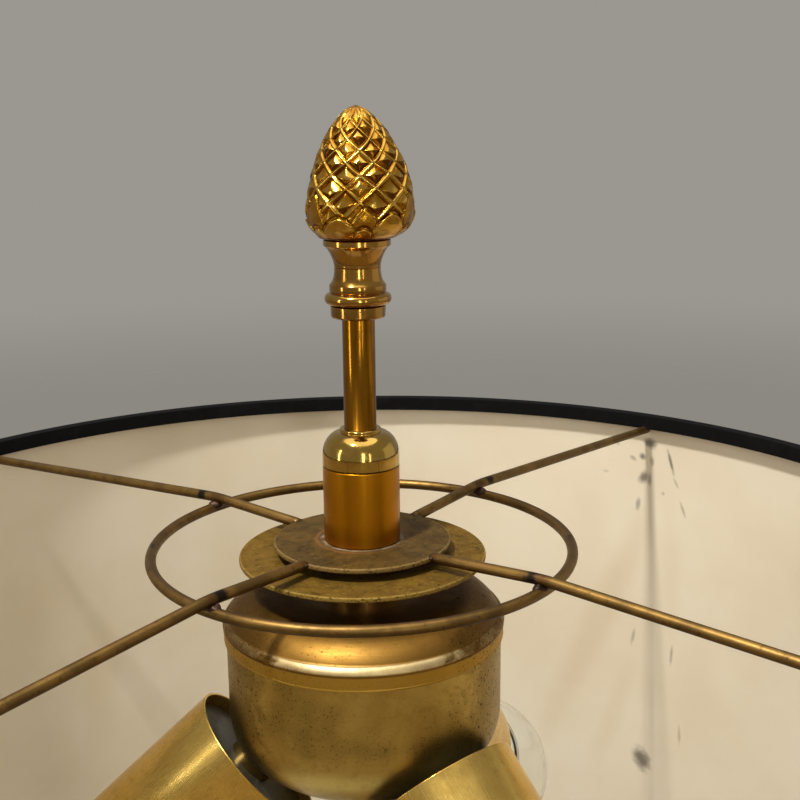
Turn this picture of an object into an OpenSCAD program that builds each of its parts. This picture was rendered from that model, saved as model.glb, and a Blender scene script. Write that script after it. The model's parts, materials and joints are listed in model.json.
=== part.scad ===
// Table lamp with a pineapple finial, a clamped fabric shade on a four-arm spider,
// and three bulbs in tilted sleeves round a canister on a brass column.
// The origin is the centre of the underside; +Z is up and -Y faces the viewer.

/* [Base] */
// Diameter of the round base
base_d = 220; // [180:5:260]
// Height of the upright edge of the base
base_edge_h = 13; // [11:0.5:20]
// Rounding of the base's upper edge
base_round = 5; // [3:0.5:8]
// Height of the boss on the base, above the felt
base_h = 30; // [28:1:45]
// Diameter of the boss where the column stands
boss_d = 48; // [40:1:60]
// Wall of the spun base cover
base_wall = 1.2; // [0.8:0.1:2]
// Thickness of the felt
felt_t = 2; // [1:0.5:4]
// Bore of the cord inlet
inlet_d = 6.5; // [5:0.5:7]

/* [Column] */
// Length of the column tube
column_len = 490; // [380:10:640]
// Outer diameter of the column tube
column_d = 20; // [16:1:24]
// Wall of the column tube
column_wall = 1; // [0.8:0.1:2]
// Outer diameter of the threaded pipe in the middle
pipe_d = 10; // [9:0.5:11]
// Bore of the threaded pipe
pipe_bore = 7; // [5:0.5:7.5]
// Length of the pipe above the spider plate
pipe_tail = 14; // [10:1:16]

/* [Canister] */
// Outer diameter of the canister body
canister_d = 88; // [84:1:92]
// Height of the canister body, from its floor to its open edge
canister_h = 48; // [45:1:56]
// Rounding of the canister's lower corner
canister_round = 19; // [17:0.5:22]
// Wall of the canister
canister_wall = 0.8; // [0.6:0.1:1]
// Wall of the lid
lid_wall = 0.6; // [0.5:0.1:1]
// Height of the lid's skirt, below its bead
lid_skirt = 5; // [3:0.5:7]
// Radius of the bead rolled round the lid
lid_bead = 1.2; // [0.8:0.1:1.6]
// Diameter of the flat top of the lid
lid_flat_d = 50; // [40:1:56]
// Height of the lid's shoulder, above its bead
lid_rise = 7.1; // [5:0.1:10]

/* [Lamp sleeves] */
// Compass angle of the first sleeve
sleeve_az = 188; // [180:1:195]
// Tilt of the sleeves below the horizontal
sleeve_tilt = 41.3; // [38:0.1:44]
// Outer diameter of a sleeve
sleeve_d = 51; // [49:0.5:53]
// Length of a sleeve
sleeve_len = 75; // [70:1:85]
// Wall of a sleeve
sleeve_wall = 0.8; // [0.6:0.1:1.2]
// Depth from the sleeve's upper rim to its end disc
sleeve_recess = 4; // [3.5:0.5:6]
// Height of the point where the sleeve axes meet, above the canister's floor
sleeve_meet_h = 34.1; // [33:0.1:36]
// Distance from that point to the sleeve's upper rim
sleeve_out = 47; // [46:0.5:50]

/* [Bulbs] */
// Diameter of the bulb's globe
bulb_d = 65; // [60:1:70]
// Length of the bulb from its contact to its crown
bulb_len = 120; // [114:1:126]
// Diameter of the bulb's screw cap
cap_d = 26; // [25.6:0.1:26.4]
// Diameter of the bulb's neck
bulb_neck_d = 29; // [27:0.5:31]
// Thickness of the glass
glass_t = 0.6; // [0.4:0.1:1]

/* [Shade] */
// Outer diameter of the shade at its top
shade_top_d = 408; // [380:2:440]
// Outer diameter of the shade at its bottom
shade_bottom_d = 462; // [440:2:500]
// Upright height of the shade
shade_h = 260; // [250:5:300]
// Thickness of the outer fabric
cover_t = 0.5; // [0.4:0.1:1]
// Thickness of the parchment liner
liner_t = 0.4; // [0.3:0.1:0.8]
// Diameter of the shade's hoop wires
hoop_wire_d = 3.2; // [2.5:0.1:4]
// Depth of the outer leg of the edge tape
tape_outer = 10; // [8:0.5:14]
// Thickness of the edge tape
tape_t = 0.4; // [0.3:0.1:0.8]

/* [Spider] */
// Diameter of the spider plate
plate_d = 56; // [48:1:60]
// Thickness of the spider plate
plate_t = 1.6; // [1.2:0.1:2.5]
// Diameter of the wire ring, at the middle of its wire
ring_d = 132; // [110:1:150]
// Diameter of the ring's wire
ring_wire_d = 3.4; // [2.8:0.1:4]
// Diameter of the arms' wire
arm_wire_d = 3.4; // [2.6:0.1:4]
// Compass angle of the first arm
arm_az = 50.4; // [40:0.1:60]
// Fall of the arms from the plate's top to the shade's hoop
arm_fall = 7.4; // [6:0.1:12]

/* [Seat and clamp] */
// Diameter of the disc that carries the shade
disc_d = 78; // [70:1:84]
// Thickness of that disc
disc_t = 1.5; // [1:0.1:2.5]
// Height of the hub between the lid and the disc
hub_h = 10.5; // [8:0.5:14]
// Height of the loose spacer between the disc and the plate
spacer_h = 2.9; // [2:0.1:4]
// Outer diameter of the clamp sleeve
clamp_d = 24; // [22:0.5:27]
// Height of the clamp sleeve
clamp_h = 24.2; // [23:0.1:30]
// Wall of the clamp sleeve
clamp_wall = 1.5; // [1:0.1:2]
// Height of the straight band under the dome
dome_band = 3.3; // [2:0.1:5]
// Height of the domed part above its band
dome_rise = 7.4; // [5:0.1:10]

/* [Finial] */
// Diameter of the finial's rod
rod_d = 10; // [8:0.5:11]
// Length of the rod that shows between the dome and the neck
rod_show = 34.6; // [25:0.1:60]
// Height of the collar under the neck's bead
collar_h = 4; // [3:0.1:6]
// Diameter of that collar
collar_d = 16.6; // [15:0.2:19]
// Outer diameter of the bead
bead_d = 20.4; // [19:0.2:24]
// Height of the bead
bead_h = 3.6; // [3:0.1:5]
// Height from the bead to the waist
lower_neck_h = 7.6; // [6:0.1:12]
// Diameter of the swelling over the bead
swell_d = 17.6; // [16:0.2:19]
// Diameter of the waist
waist_d = 13.6; // [12.6:0.2:15]
// Height from the waist to the flange
upper_neck_h = 6; // [4:0.1:9]
// Diameter of the flange that carries the pineapple
flange_d = 20.4; // [18:0.2:24]
// Thickness of that flange
flange_t = 2.6; // [2:0.1:4]
// Widest diameter of the pineapple
fruit_d = 33; // [28:0.5:40]
// Height of the pineapple
fruit_h = 38.5; // [32:0.5:48]
// Height of the pineapple's widest part above its foot
fruit_belly = 9.4; // [7:0.1:12]
// Depth of the grooves between the pineapple's scales
scale_depth = 0.9; // [0.4:0.1:1.4]
// Scales in one turn
scale_turn = 10; // [8:1:12]

/* [Hidden] */
$fn = 96;

// Small gaps between pieces that fit together
fit = 0.05;
seat_fit = 0.3;

// Hidden details
cut_len = 20;
block_under = 20;
contact_d = 12;
contact_t = 1;
stem_len = 22;

// Heights above the table, from the base up
base_r = base_d / 2;
boss_r = boss_d / 2;
boss_z = felt_t + base_h;
weight_t = base_edge_h - base_wall;
nut_recess_r = 15;
nut_recess_h = weight_t - 3;
inlet_z = felt_t + 4.2;
inlet_body_r = inlet_d / 2 + 0.65;
column_r = column_d / 2;
column_top = boss_z + column_len;
pipe_r = pipe_d / 2;
pipe_hole_r = pipe_r + 0.1;
nut_r = pipe_r + 4;
nut_h = 5;

// Canister and lid
collar_web = 2;
floor_z = column_top + collar_web;
canister_r = canister_d / 2;
rim_z = floor_z + canister_h;
lid_r = canister_r + fit + lid_wall;
bead_z = rim_z + lid_bead + 0.8;
bead_out = 0.4;
skirt_z = bead_z - lid_bead - lid_skirt;
lid_top = bead_z + lid_bead + lid_rise;
lid_flat_r = lid_flat_d / 2;
shoulder_start = 27;
shoulder_a = (lid_r - 0.9 - lid_flat_r) / cos(shoulder_start);
shoulder_b = lid_rise / (1 - sin(shoulder_start));

// Stack from the lid to the finial's tip
disc_z = lid_top + hub_h;
spacer_z = disc_z + disc_t;
plate_z = spacer_z + spacer_h;
plate_top = plate_z + plate_t;
plate_r = plate_d / 2;
dome_z = plate_top + clamp_h;
dome_top = dome_z + dome_band + dome_rise;
dome_lip = 1.1;
neck_z = dome_top + dome_lip + rod_show;
bead_low = neck_z + collar_h;
bead_high = bead_low + bead_h;
waist_z = bead_high + lower_neck_h;
flange_z = waist_z + upper_neck_h;
fruit_z = flange_z + flange_t;
rod_r = rod_d / 2;
rod_shoulder_r = rod_r + 3;
clamp_r = clamp_d / 2;
clamp_in_r = clamp_r - clamp_wall;

// Spider and shade
arm_r = arm_wire_d / 2;
ring_r = ring_d / 2;
arm_root_drop = 0.35;
arm_rise = 1.1;
arm_bump = 0.12;
ring_z = plate_top + arm_rise - arm_r - arm_bump - ring_wire_d / 2 - 0.03;
hoop_r = hoop_wire_d / 2;
hoop_z = plate_top - arm_fall + arm_r + hoop_r;
edge_over_hoop = 3;
cover_top = hoop_z + edge_over_hoop;
cover_low = cover_top - shade_h;
hoop_gap = 0.15;
tape_inner = 5.5;

// Lamp sockets, measured along each sleeve's axis from the point where the axes meet
meet_z = floor_z + sleeve_meet_h;
sleeve_r = sleeve_d / 2;
sleeve_in_r = sleeve_r - sleeve_wall;
end_disc_s = sleeve_out + sleeve_recess;
end_disc_t = 1.5;
mouth_s = sleeve_out + sleeve_len;
bulb_r = bulb_d / 2;
bulb_reach = 46;
globe_s = mouth_s + bulb_reach;
contact_s = globe_s + bulb_r - bulb_len;
cup_s = contact_s - 1.3;
cup_in_r = cap_d / 2 + 0.9;
cup_len = 26.5;
holder_r = cup_in_r + 4.7;
holder_base_h = 14;
nipple_in_s = 35;
nipple_out_s = cup_s - 6;
nipple_nut_s = 36.8;
nipple_nut_h = 4.5;
cap_len = 27;
cap_floor = 4;
cap_end_s = contact_s + cap_len;
block_r = 18;
block_z = floor_z + canister_wall + nut_h;
block_top = meet_z - block_under * sin(sleeve_tilt);

function arc(cx, cy, r, a0, a1, n) =
    [for (i = [0:n]) [cx + r * cos(a0 + (a1 - a0) * i / n), cy + r * sin(a0 + (a1 - a0) * i / n)]];
function flip(list) = [for (i = [len(list) - 1:-1:0]) list[i]];
function ease(t) = 0.5 - 0.5 * cos(180 * t);

// A flat ring or tube
module ring(outer_r, inner_r, h) {
    difference() {
        cylinder(r = outer_r, h = h);
        translate([0, 0, -1]) cylinder(r = inner_r, h = h + 2);
    }
}

// A round bar from point a to point b of the XZ plane
module bar(a, b, r) {
    run = b - a;
    translate([a[0], 0, a[1]])
        rotate([0, atan2(run[0], run[1]), 0])
            cylinder(r = r, h = norm(run));
}

module hoop(r, z, wire_r) {
    translate([0, 0, z]) rotate_extrude() translate([r, 0]) circle(r = wire_r);
}

module hex_nut(h) {
    difference() {
        cylinder(r = nut_r, h = h, $fn = 6);
        translate([0, 0, -1]) cylinder(r = pipe_r + fit, h = h + 2);
    }
}

// Base

// Profile of the spun cover, w inside its outer face
function base_skin(w) = concat(
    [[base_r - w, 0]],
    arc(base_r - base_round, base_edge_h - base_round, base_round - w, 0, 90, 6),
    [for (i = [1:11]) base_cove(i / 12, w)],
    [[boss_r - w, base_edge_h + cove_rise - w]],
    w > 0 ? [[boss_r - w, base_h - w]] : [[boss_r, base_h - 1.2], [boss_r - 1.2, base_h]],
    [[pipe_hole_r, base_h - w]]);
cove_rise = (base_h - base_edge_h) * 0.6;
function base_cove(t, w) = [
    (base_r - base_round) * (1 - t) + boss_r * t,
    base_edge_h + cove_rise * ease(t) - w
];

module felt_pad() {
    color("#3a3f36") ring(base_r - 3, nut_recess_r + 1, felt_t);
}

module base_weight() {
    weight_r = base_r - base_wall - 0.5;
    color("#4a4744") difference() {
        translate([0, 0, felt_t]) rotate_extrude() polygon([
            [pipe_hole_r, 0], [weight_r, 0], [weight_r, base_edge_h - base_round - 0.5],
            [weight_r - base_round, weight_t], [pipe_hole_r, weight_t]
        ]);
        translate([0, 0, felt_t - 1]) cylinder(r = nut_recess_r, h = nut_recess_h + 1);
        cord_slot_w = 2 * inlet_body_r + 0.6;
        translate([-cord_slot_w / 2, 0, felt_t - 1])
            cube([cord_slot_w, base_r, inlet_z - felt_t + cord_slot_w / 2 + 1]);
    }
}

module base_cover() {
    color("#b08a3c") difference() {
        translate([0, 0, felt_t])
            rotate_extrude() polygon(concat(base_skin(0), flip(base_skin(base_wall))));
        translate([0, base_r - cut_len / 2, inlet_z]) rotate([-90, 0, 0])
            cylinder(r = inlet_body_r + fit, h = cut_len);
    }
}

module base_nut() {
    color("#9c8a55") translate([0, 0, felt_t + nut_recess_h - nut_h]) hex_nut(nut_h);
}

module cord_bushing() {
    color("#26231f") translate([0, 0, inlet_z]) rotate([-90, 0, 0]) difference() {
        union() {
            translate([0, 0, base_r - 7]) cylinder(r = inlet_body_r, h = 7);
            translate([0, 0, base_r]) cylinder(r = inlet_body_r + 0.9, h = 1.5);
        }
        cylinder(r = inlet_d / 2, h = base_r + 10);
    }
}

// Column

module foot_collar() {
    bore = column_r + fit;
    color("#b8913f") translate([0, 0, boss_z]) rotate_extrude() polygon(concat(
        [[bore, 0], [column_r + 8, 0], [column_r + 8, 3]],
        arc(column_r + 8, 8, 5, -90, -180, 8),
        [[column_r + 3, 12], [column_r + 2, 13], [bore, 13]]));
}

module column_tube() {
    color("#c09a45") translate([0, 0, boss_z]) ring(column_r, column_r - column_wall, column_len);
}

module top_collar() {
    color("#b8913f") translate([0, 0, column_top - 8]) difference() {
        rotate_extrude() polygon([
            [pipe_hole_r, 0], [column_r + 2, 0], [column_r + 4, 3],
            [column_r + 4, 8 + collar_web], [pipe_hole_r, 8 + collar_web]
        ]);
        translate([0, 0, -1]) cylinder(r = column_r + fit, h = 9);
    }
}

module centre_pipe() {
    low = felt_t + 1.5;
    color("#a5843d") translate([0, 0, low])
        ring(pipe_r, pipe_bore / 2, plate_top + pipe_tail - low);
}

// Canister

function canister_skin(w) = concat(
    [[pipe_hole_r, w]],
    arc(canister_r - canister_round, canister_round, canister_round - w, -90, 0, 14),
    [[canister_r - w, canister_h]]);

module canister_body() {
    color("#ab8a48") difference() {
        translate([0, 0, floor_z]) rotate_extrude()
            polygon(concat(canister_skin(0), flip(canister_skin(canister_wall))));
        for (k = [1:3]) at_socket(k) translate([0, 0, nipple_in_s])
            cylinder(r = pipe_r + 0.1, h = sleeve_out);
    }
}

function lid_skin(w) = concat(
    [[lid_r - w, skirt_z]],
    [for (a = [-90:15:90]) [lid_r + bead_out * cos(a) - w, bead_z + (lid_bead - w) * sin(a)]],
    [for (i = [0:12]) lid_shoulder(shoulder_start + (90 - shoulder_start) * i / 12, w)],
    [[pipe_hole_r, lid_top - w]]);
function lid_shoulder(a, w) = [
    lid_flat_r + (shoulder_a - w) * cos(a),
    lid_top - shoulder_b + (shoulder_b - w) * sin(a)
];

module canister_lid() {
    color("#b8914a") rotate_extrude() polygon(concat(lid_skin(0), flip(lid_skin(lid_wall))));
}

module canister_nut() {
    color("#9c8a55") translate([0, 0, floor_z + canister_wall]) hex_nut(nut_h);
}

module terminal_block() {
    color("#e5ddc8") translate([0, 0, block_z]) ring(block_r, pipe_r + 0.5, block_top - block_z);
}

module terminal_screws() {
    color("#c4a24e") for (a = [30:60:330]) rotate([0, 0, a])
        translate([12, 0, block_top]) cylinder(r = 1.8, h = 1.4);
}

// Lamp sockets

// Local +Z runs down and out along the axis of sleeve k
module at_socket(k) {
    translate([0, 0, meet_z]) rotate([0, 0, sleeve_az + 120 * (k - 1)])
        rotate([0, 90 + sleeve_tilt, 0]) children();
}

module socket_nipples() {
    color("#a5843d") for (k = [1:3]) at_socket(k) translate([0, 0, nipple_in_s])
        ring(pipe_r, pipe_bore / 2, nipple_out_s - nipple_in_s);
}

module nipple_nuts() {
    color("#9c8a55") for (k = [1:3]) at_socket(k) translate([0, 0, nipple_nut_s]) difference() {
        cylinder(r = pipe_r + 2.4, h = nipple_nut_h, $fn = 6);
        translate([0, 0, -1]) cylinder(r = pipe_r + fit, h = nipple_nut_h + 2);
    }
}

module nipple_collars() {
    low = sleeve_out + 0.9;
    color("#a5843d") for (k = [1:3]) at_socket(k) translate([0, 0, low])
        ring(pipe_r + 3, pipe_r + fit, end_disc_s - low);
}

module lamp_sleeve(k) {
    color("#b98f3a") at_socket(k) translate([0, 0, sleeve_out]) ring(sleeve_r, sleeve_in_r, sleeve_len);
}

module end_discs() {
    color("#4d4d48") for (k = [1:3]) at_socket(k) translate([0, 0, end_disc_s])
        ring(sleeve_in_r - fit, pipe_r + fit, end_disc_t);
}

module lampholder(k) {
    color("#1f1d1b") at_socket(k) difference() {
        union() {
            translate([0, 0, cup_s - holder_base_h]) cylinder(r = holder_r - 3, h = holder_base_h);
            translate([0, 0, cup_s - 3]) cylinder(r = holder_r, h = cup_len + 3);
        }
        translate([0, 0, cup_s]) cylinder(r = cup_in_r, h = cup_len + 1);
        translate([0, 0, cup_s - holder_base_h - 1])
            cylinder(r = pipe_r + fit, h = nipple_out_s - cup_s + holder_base_h + 1);
        translate([0, 0, cup_s - holder_base_h]) cylinder(r = pipe_bore / 2, h = holder_base_h + 1);
    }
}

module socket_contacts() {
    color("#c8a24a") for (k = [1:3]) at_socket(k) translate([0, 0, cup_s])
        cylinder(r = contact_d / 2, h = contact_t);
}

// Insulated wires from the block, through the nipples, to the sockets
module socket_leads() {
    low = 22.5;
    color("#8a6a3a") difference() {
        for (k = [1:3]) at_socket(k) for (side = [-1.5, 1.5])
            translate([0, side, low]) cylinder(r = 0.9, h = cup_s - low);
        translate([0, 0, block_z - 1]) cylinder(r = block_r, h = block_top - block_z + 1);
    }
}

// Seat of the shade

module disc_hub() {
    color("#b08a3c") translate([0, 0, lid_top]) ring(pipe_r + 6, pipe_hole_r, hub_h);
}

module support_disc() {
    color("#b39a52") translate([0, 0, disc_z]) ring(disc_d / 2, pipe_hole_r, disc_t);
}

module seat_spacer() {
    color("#7d6a3c") translate([0, 0, spacer_z]) ring(pipe_r + 4, pipe_r + seat_fit, spacer_h);
}

// Spider

module spider_plate() {
    color("#8b7448") translate([0, 0, plate_z]) ring(plate_r, pipe_r + seat_fit, plate_t);
}

function hoop_top_r() = wall_in_r(edge_over_hoop) - hoop_r - hoop_gap;

// Wire of one arm, thickened by grow
module arm_wire(k, grow) {
    root = [plate_r - 2, plate_top - arm_root_drop];
    crossing = [ring_r, plate_top + arm_rise];
    tip = [hoop_top_r() + 0.6, plate_top - arm_fall];
    rotate([0, 0, arm_az + 90 * (k - 1)]) union() {
        bar(root, crossing, arm_r + grow);
        bar(crossing, tip, arm_r + grow);
        translate([crossing[0], 0, crossing[1]]) sphere(r = arm_r + arm_bump + grow);
    }
}

module spider_arm(k) {
    color("#8a6d35") difference() {
        arm_wire(k, 0);
        translate([0, 0, plate_z - 3]) cylinder(r = plate_r, h = plate_t + 3);
    }
}

module spider_ring() {
    color("#a07f3c") hoop(ring_r, ring_z, ring_wire_d / 2);
}

// Filler left round each crossing of an arm and the ring
module spider_brazing() {
    blob_r = ring_wire_d * 0.72;
    color("#3c2c1c") for (k = [1:4]) difference() {
        rotate([0, 0, arm_az + 90 * (k - 1)])
            translate([ring_r, 0, ring_z + ring_wire_d / 2]) sphere(r = blob_r);
        arm_wire(k, 0.02);
        rotate([0, 0, arm_az + 90 * (k - 1)]) translate([ring_r, -cut_len / 2, ring_z])
            rotate([-90, 0, 0]) cylinder(r = ring_wire_d / 2 + 0.05, h = cut_len);
    }
}

// Shade

// Outer radius of the fabric at a depth below its top edge
function wall_r(depth) = (shade_top_d + (shade_bottom_d - shade_top_d) * depth / shade_h) / 2;
// Inner radius of the liner at that depth
function wall_in_r(depth) = wall_r(depth) - cover_t - fit - liner_t;

module cone_skin(from, thick) {
    translate([0, 0, cover_top]) rotate_extrude() polygon([
        [wall_r(0) - from, 0], [wall_r(shade_h) - from, -shade_h],
        [wall_r(shade_h) - from - thick, -shade_h], [wall_r(0) - from - thick, 0]
    ]);
}

module shade_cover() {
    color("#1b1a1c") cone_skin(0, cover_t);
}

module shade_liner() {
    color("#e3d3ad") cone_skin(cover_t + fit, liner_t);
}

module top_hoop() {
    color("#8a6d35") hoop(hoop_top_r(), hoop_z, hoop_r);
}

function hoop_low_r() = wall_in_r(shade_h - edge_over_hoop - 0.2) - hoop_r - hoop_gap - 0.2;

module bottom_hoop() {
    color("#8a6d35") hoop(hoop_low_r(), cover_low + edge_over_hoop, hoop_r);
}

// Tape folded over an edge: z is the edge's height and up is +1 at the top edge
module tape(z, up, out_near, out_far, in_r) {
    gap = 0.1;
    translate([0, 0, z]) rotate_extrude() polygon([
        [out_near + fit, up * gap], [out_far + fit, -up * tape_outer],
        [out_far + fit + tape_t, -up * tape_outer], [out_near + fit + tape_t, up * (gap + tape_t)],
        [in_r - tape_t, up * (gap + tape_t)], [in_r - tape_t, -up * tape_inner],
        [in_r, -up * tape_inner], [in_r, up * gap]
    ]);
}

module top_tape() {
    color("#141315") difference() {
        tape(cover_top, 1, wall_r(0), wall_r(tape_outer), hoop_top_r() - hoop_r - 0.1);
        for (k = [1:4]) arm_wire(k, 0.2);
    }
}

module bottom_tape() {
    color("#141315")
        tape(cover_low, -1, wall_r(shade_h), wall_r(shade_h - tape_outer), hoop_low_r() - hoop_r - 0.1);
}

// Clamp

module clamp_sleeve() {
    color("#b57f1c") translate([0, 0, plate_top]) ring(clamp_r, clamp_in_r, clamp_h);
}

module clamp_bush() {
    color("#9c8a55") translate([0, 0, plate_top + 2])
        ring(clamp_in_r - fit, pipe_r + 0.06, pipe_tail - 3);
}

spigot_h = 4;
module dome_cap() {
    bore = rod_r + fit;
    lip_r = rod_r + 1.4;
    color("#c99a3a") translate([0, 0, dome_z]) rotate_extrude() polygon(concat(
        [[bore, -spigot_h], [clamp_in_r - 0.08, -spigot_h], [clamp_in_r - 0.08, 0],
            [clamp_r - 0.3, 0], [clamp_r, 0.3], [clamp_r, dome_band]],
        [for (a = [10:10:80]) [lip_r + (clamp_r - lip_r) * cos(a), dome_band + dome_rise * sin(a)]],
        [[lip_r, dome_band + dome_rise], [lip_r, dome_band + dome_rise + dome_lip - 0.4],
            [lip_r - 0.4, dome_band + dome_rise + dome_lip], [bore, dome_band + dome_rise + dome_lip]]));
}

// Finial

module finial_rod() {
    low = dome_z - spigot_h - 3;
    color("#b98a30") union() {
        translate([0, 0, low]) cylinder(r = rod_r, h = waist_z - 2 - low);
        translate([0, 0, low]) cylinder(r = rod_shoulder_r, h = 3);
    }
}

module neck_base() {
    bore = rod_r + fit;
    bead_bulge = bead_h / 2;
    core = bead_d / 2 - bead_bulge;
    color("#b5772c") translate([0, 0, neck_z]) rotate_extrude() polygon(concat(
        [[bore, 0], [collar_d / 2 - 0.4, 0], [collar_d / 2, 0.6], [collar_d / 2 + 0.2, collar_h - 0.6]],
        arc(core, collar_h + bead_h / 2, bead_bulge, -90, 90, 10),
        [[swell_d / 2, collar_h + bead_h]],
        [for (i = [1:10]) [
            swell_d / 2 + (waist_d - swell_d) / 2 * ease(i / 10),
            collar_h + bead_h + lower_neck_h * (0.15 + 0.85 * i / 10)
        ]],
        [[bore, collar_h + bead_h + lower_neck_h]]));
}

module neck_cup() {
    color("#b5772c") translate([0, 0, waist_z]) rotate_extrude() polygon(concat(
        [[0, 0]],
        [for (i = [0:8]) [
            waist_d / 2 + (flange_d / 2 - 0.8 - waist_d / 2) * pow(i / 8, 1.8),
            upper_neck_h * i / 8
        ]],
        [[flange_d / 2, upper_neck_h + 0.5], [flange_d / 2, upper_neck_h + flange_t - 0.5],
            [flange_d / 2 - 0.5, upper_neck_h + flange_t], [0, upper_neck_h + flange_t]]));
}

// Radius of the pineapple at a height above its foot
function fruit_r(z) = z < fruit_belly
    ? fruit_d / 2 * sqrt(1 - pow((fruit_belly - z) / (fruit_belly * 1.25), 2.6))
    : fruit_d / 2 * pow(1 - pow((z - fruit_belly) / (fruit_h - fruit_belly), 1.6), 0.62);

// Two sets of spirals cross to make the scales: a spiral lies where its phase is whole
scale_start = 0.27;
function spiral_rise(t) = 3.4 * t + 1.6 * t * t;
function off_spiral(phase) = 1 - abs(2 * (phase - floor(phase)) - 1);
// Share of the full depth left standing at angle a and a share t of the height
function scale_fill(a, t) = let(
    turn = scale_turn * a / 360 + 0.5,
    rise = spiral_rise(t) - spiral_rise(scale_start),
    leaf_top = 0.14 + 0.11 * off_spiral(turn)
) t < leaf_top
    ? min(1, 0.35 + 1.6 * off_spiral(turn))
    : min(1, 2 * off_spiral(turn + rise) * off_spiral(turn - rise));
function fruit_point(a, t) = let(
    plain = fruit_r(fruit_h * t),
    r = plain - scale_depth * (1 - scale_fill(a, t)) * min(1, plain * 3 / fruit_d)
) [r * cos(a), r * sin(a), fruit_h * t];

module pineapple_finial() {
    cols = 60;
    rows = 32;
    last = cols * rows;
    points = concat(
        [for (i = [0:rows - 1]) for (j = [0:cols - 1]) fruit_point(360 * j / cols, i / rows)],
        [[0, 0, fruit_h], [0, 0, 0]]);
    faces = concat(
        [for (i = [0:rows - 2]) for (j = [0:cols - 1]) for (half = [0, 1]) let(
            low = i * cols + j, low_next = i * cols + (j + 1) % cols
        ) half == 0 ? [low, low + cols, low_next] : [low_next, low + cols, low_next + cols]],
        [for (j = [0:cols - 1]) [last - cols + j, last, last - cols + (j + 1) % cols]],
        [for (j = [0:cols - 1]) [last + 1, j, (j + 1) % cols]]);
    color("#d9a431") translate([0, 0, fruit_z]) polyhedron(points, faces);
}

// Bulbs

// Outline of the glass, w inside its outer face, along the bulb's own axis
neck_curl = 40;
neck_end_s = globe_s - sqrt(pow(bulb_r + neck_curl, 2) - pow(bulb_neck_d / 2 + neck_curl, 2));
curl_angle = asin((globe_s - neck_end_s) / (bulb_r + neck_curl));
function glass_skin(w) = concat(
    [[bulb_neck_d / 2 - w, cap_end_s]],
    [for (i = [0:10]) [
        bulb_neck_d / 2 + neck_curl - (neck_curl + w) * cos(curl_angle * i / 10),
        neck_end_s + (neck_curl + w) * sin(curl_angle * i / 10)
    ]],
    [for (i = [1:17]) globe_point(curl_angle - 90 + (180 - curl_angle) * i / 18, w)],
    [[0, globe_s + bulb_r - w]]);
function globe_point(a, w) = [(bulb_r - w) * cos(a), globe_s + (bulb_r - w) * sin(a)];

module bulb_glass(k) {
    color("#dfe7e6", 0.35) at_socket(k) rotate_extrude()
        polygon(concat(glass_skin(0), flip(glass_skin(glass_t))));
}

module bulb_cap(k) {
    cap_r = cap_d / 2;
    neck_r = bulb_neck_d / 2;
    wall = 0.5;
    color("#c9c2ae") at_socket(k) translate([0, 0, contact_s]) rotate_extrude() polygon([
        [0, 0], [4, 0], [4.6, 0.8], [cap_r - 3, 3.4], [cap_r, 5], [cap_r, cap_len - 0.9],
        [neck_r, cap_len], [neck_r - glass_t, cap_len], [cap_r - wall, cap_len - 0.6],
        [cap_r - wall, cap_floor + 1.5], [cap_r - 3, cap_floor], [0, cap_floor]
    ]);
}

// Stem, two support wires and the glowing wire between them
module bulb_filament(k) {
    span = 11;
    stem_top = cap_end_s + stem_len;
    wire_top = globe_s - 8;
    color("#b9b4a6") at_socket(k) union() {
        translate([0, 0, contact_s + cap_floor]) cylinder(r = 3.9, h = stem_top - contact_s - cap_floor);
        for (side = [-1, 1])
            bar([side * 2, stem_top - 1], [side * span, wire_top], 0.45);
        translate([0, 0, wire_top]) rotate([90, 0, 0])
            rotate_extrude(angle = 180) translate([span, 0]) circle(r = 0.45);
    }
}

felt_pad();
base_weight();
base_cover();
base_nut();
cord_bushing();
foot_collar();
column_tube();
top_collar();
centre_pipe();
canister_body();
canister_lid();
canister_nut();
terminal_block();
terminal_screws();
socket_nipples();
nipple_nuts();
nipple_collars();
lamp_sleeve(1);  // lamp_sleeve_1
lamp_sleeve(2);  // lamp_sleeve_2
lamp_sleeve(3);  // lamp_sleeve_3
end_discs();
lampholder(1);  // lampholder_1
lampholder(2);  // lampholder_2
lampholder(3);  // lampholder_3
socket_contacts();
socket_leads();
disc_hub();
support_disc();
seat_spacer();
spider_plate();
spider_arm(1);  // spider_arm_1
spider_arm(2);  // spider_arm_2
spider_arm(3);  // spider_arm_3
spider_arm(4);  // spider_arm_4
spider_ring();
spider_brazing();
top_hoop();
bottom_hoop();
shade_cover();
shade_liner();
top_tape();
bottom_tape();
clamp_sleeve();
clamp_bush();
dome_cap();
finial_rod();
neck_base();
neck_cup();
pineapple_finial();
bulb_glass(1);  // bulb_glass_1
bulb_glass(2);  // bulb_glass_2
bulb_glass(3);  // bulb_glass_3
bulb_cap(1);  // bulb_cap_1
bulb_cap(2);  // bulb_cap_2
bulb_cap(3);  // bulb_cap_3
bulb_filament(1);  // bulb_filament_1
bulb_filament(2);  // bulb_filament_2
bulb_filament(3);  // bulb_filament_3
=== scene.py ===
"""Looks of a brass table lamp with a pineapple finial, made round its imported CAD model.

All sizes are metres in the CAD's frame: the lamp stands on the origin, Z is up and the viewer is
at -Y. Each new piece is a surface worked out with numpy, and every finish is procedural.
"""
import json
import math

import bpy
import numpy as np
from mathutils import Matrix, Vector

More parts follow.
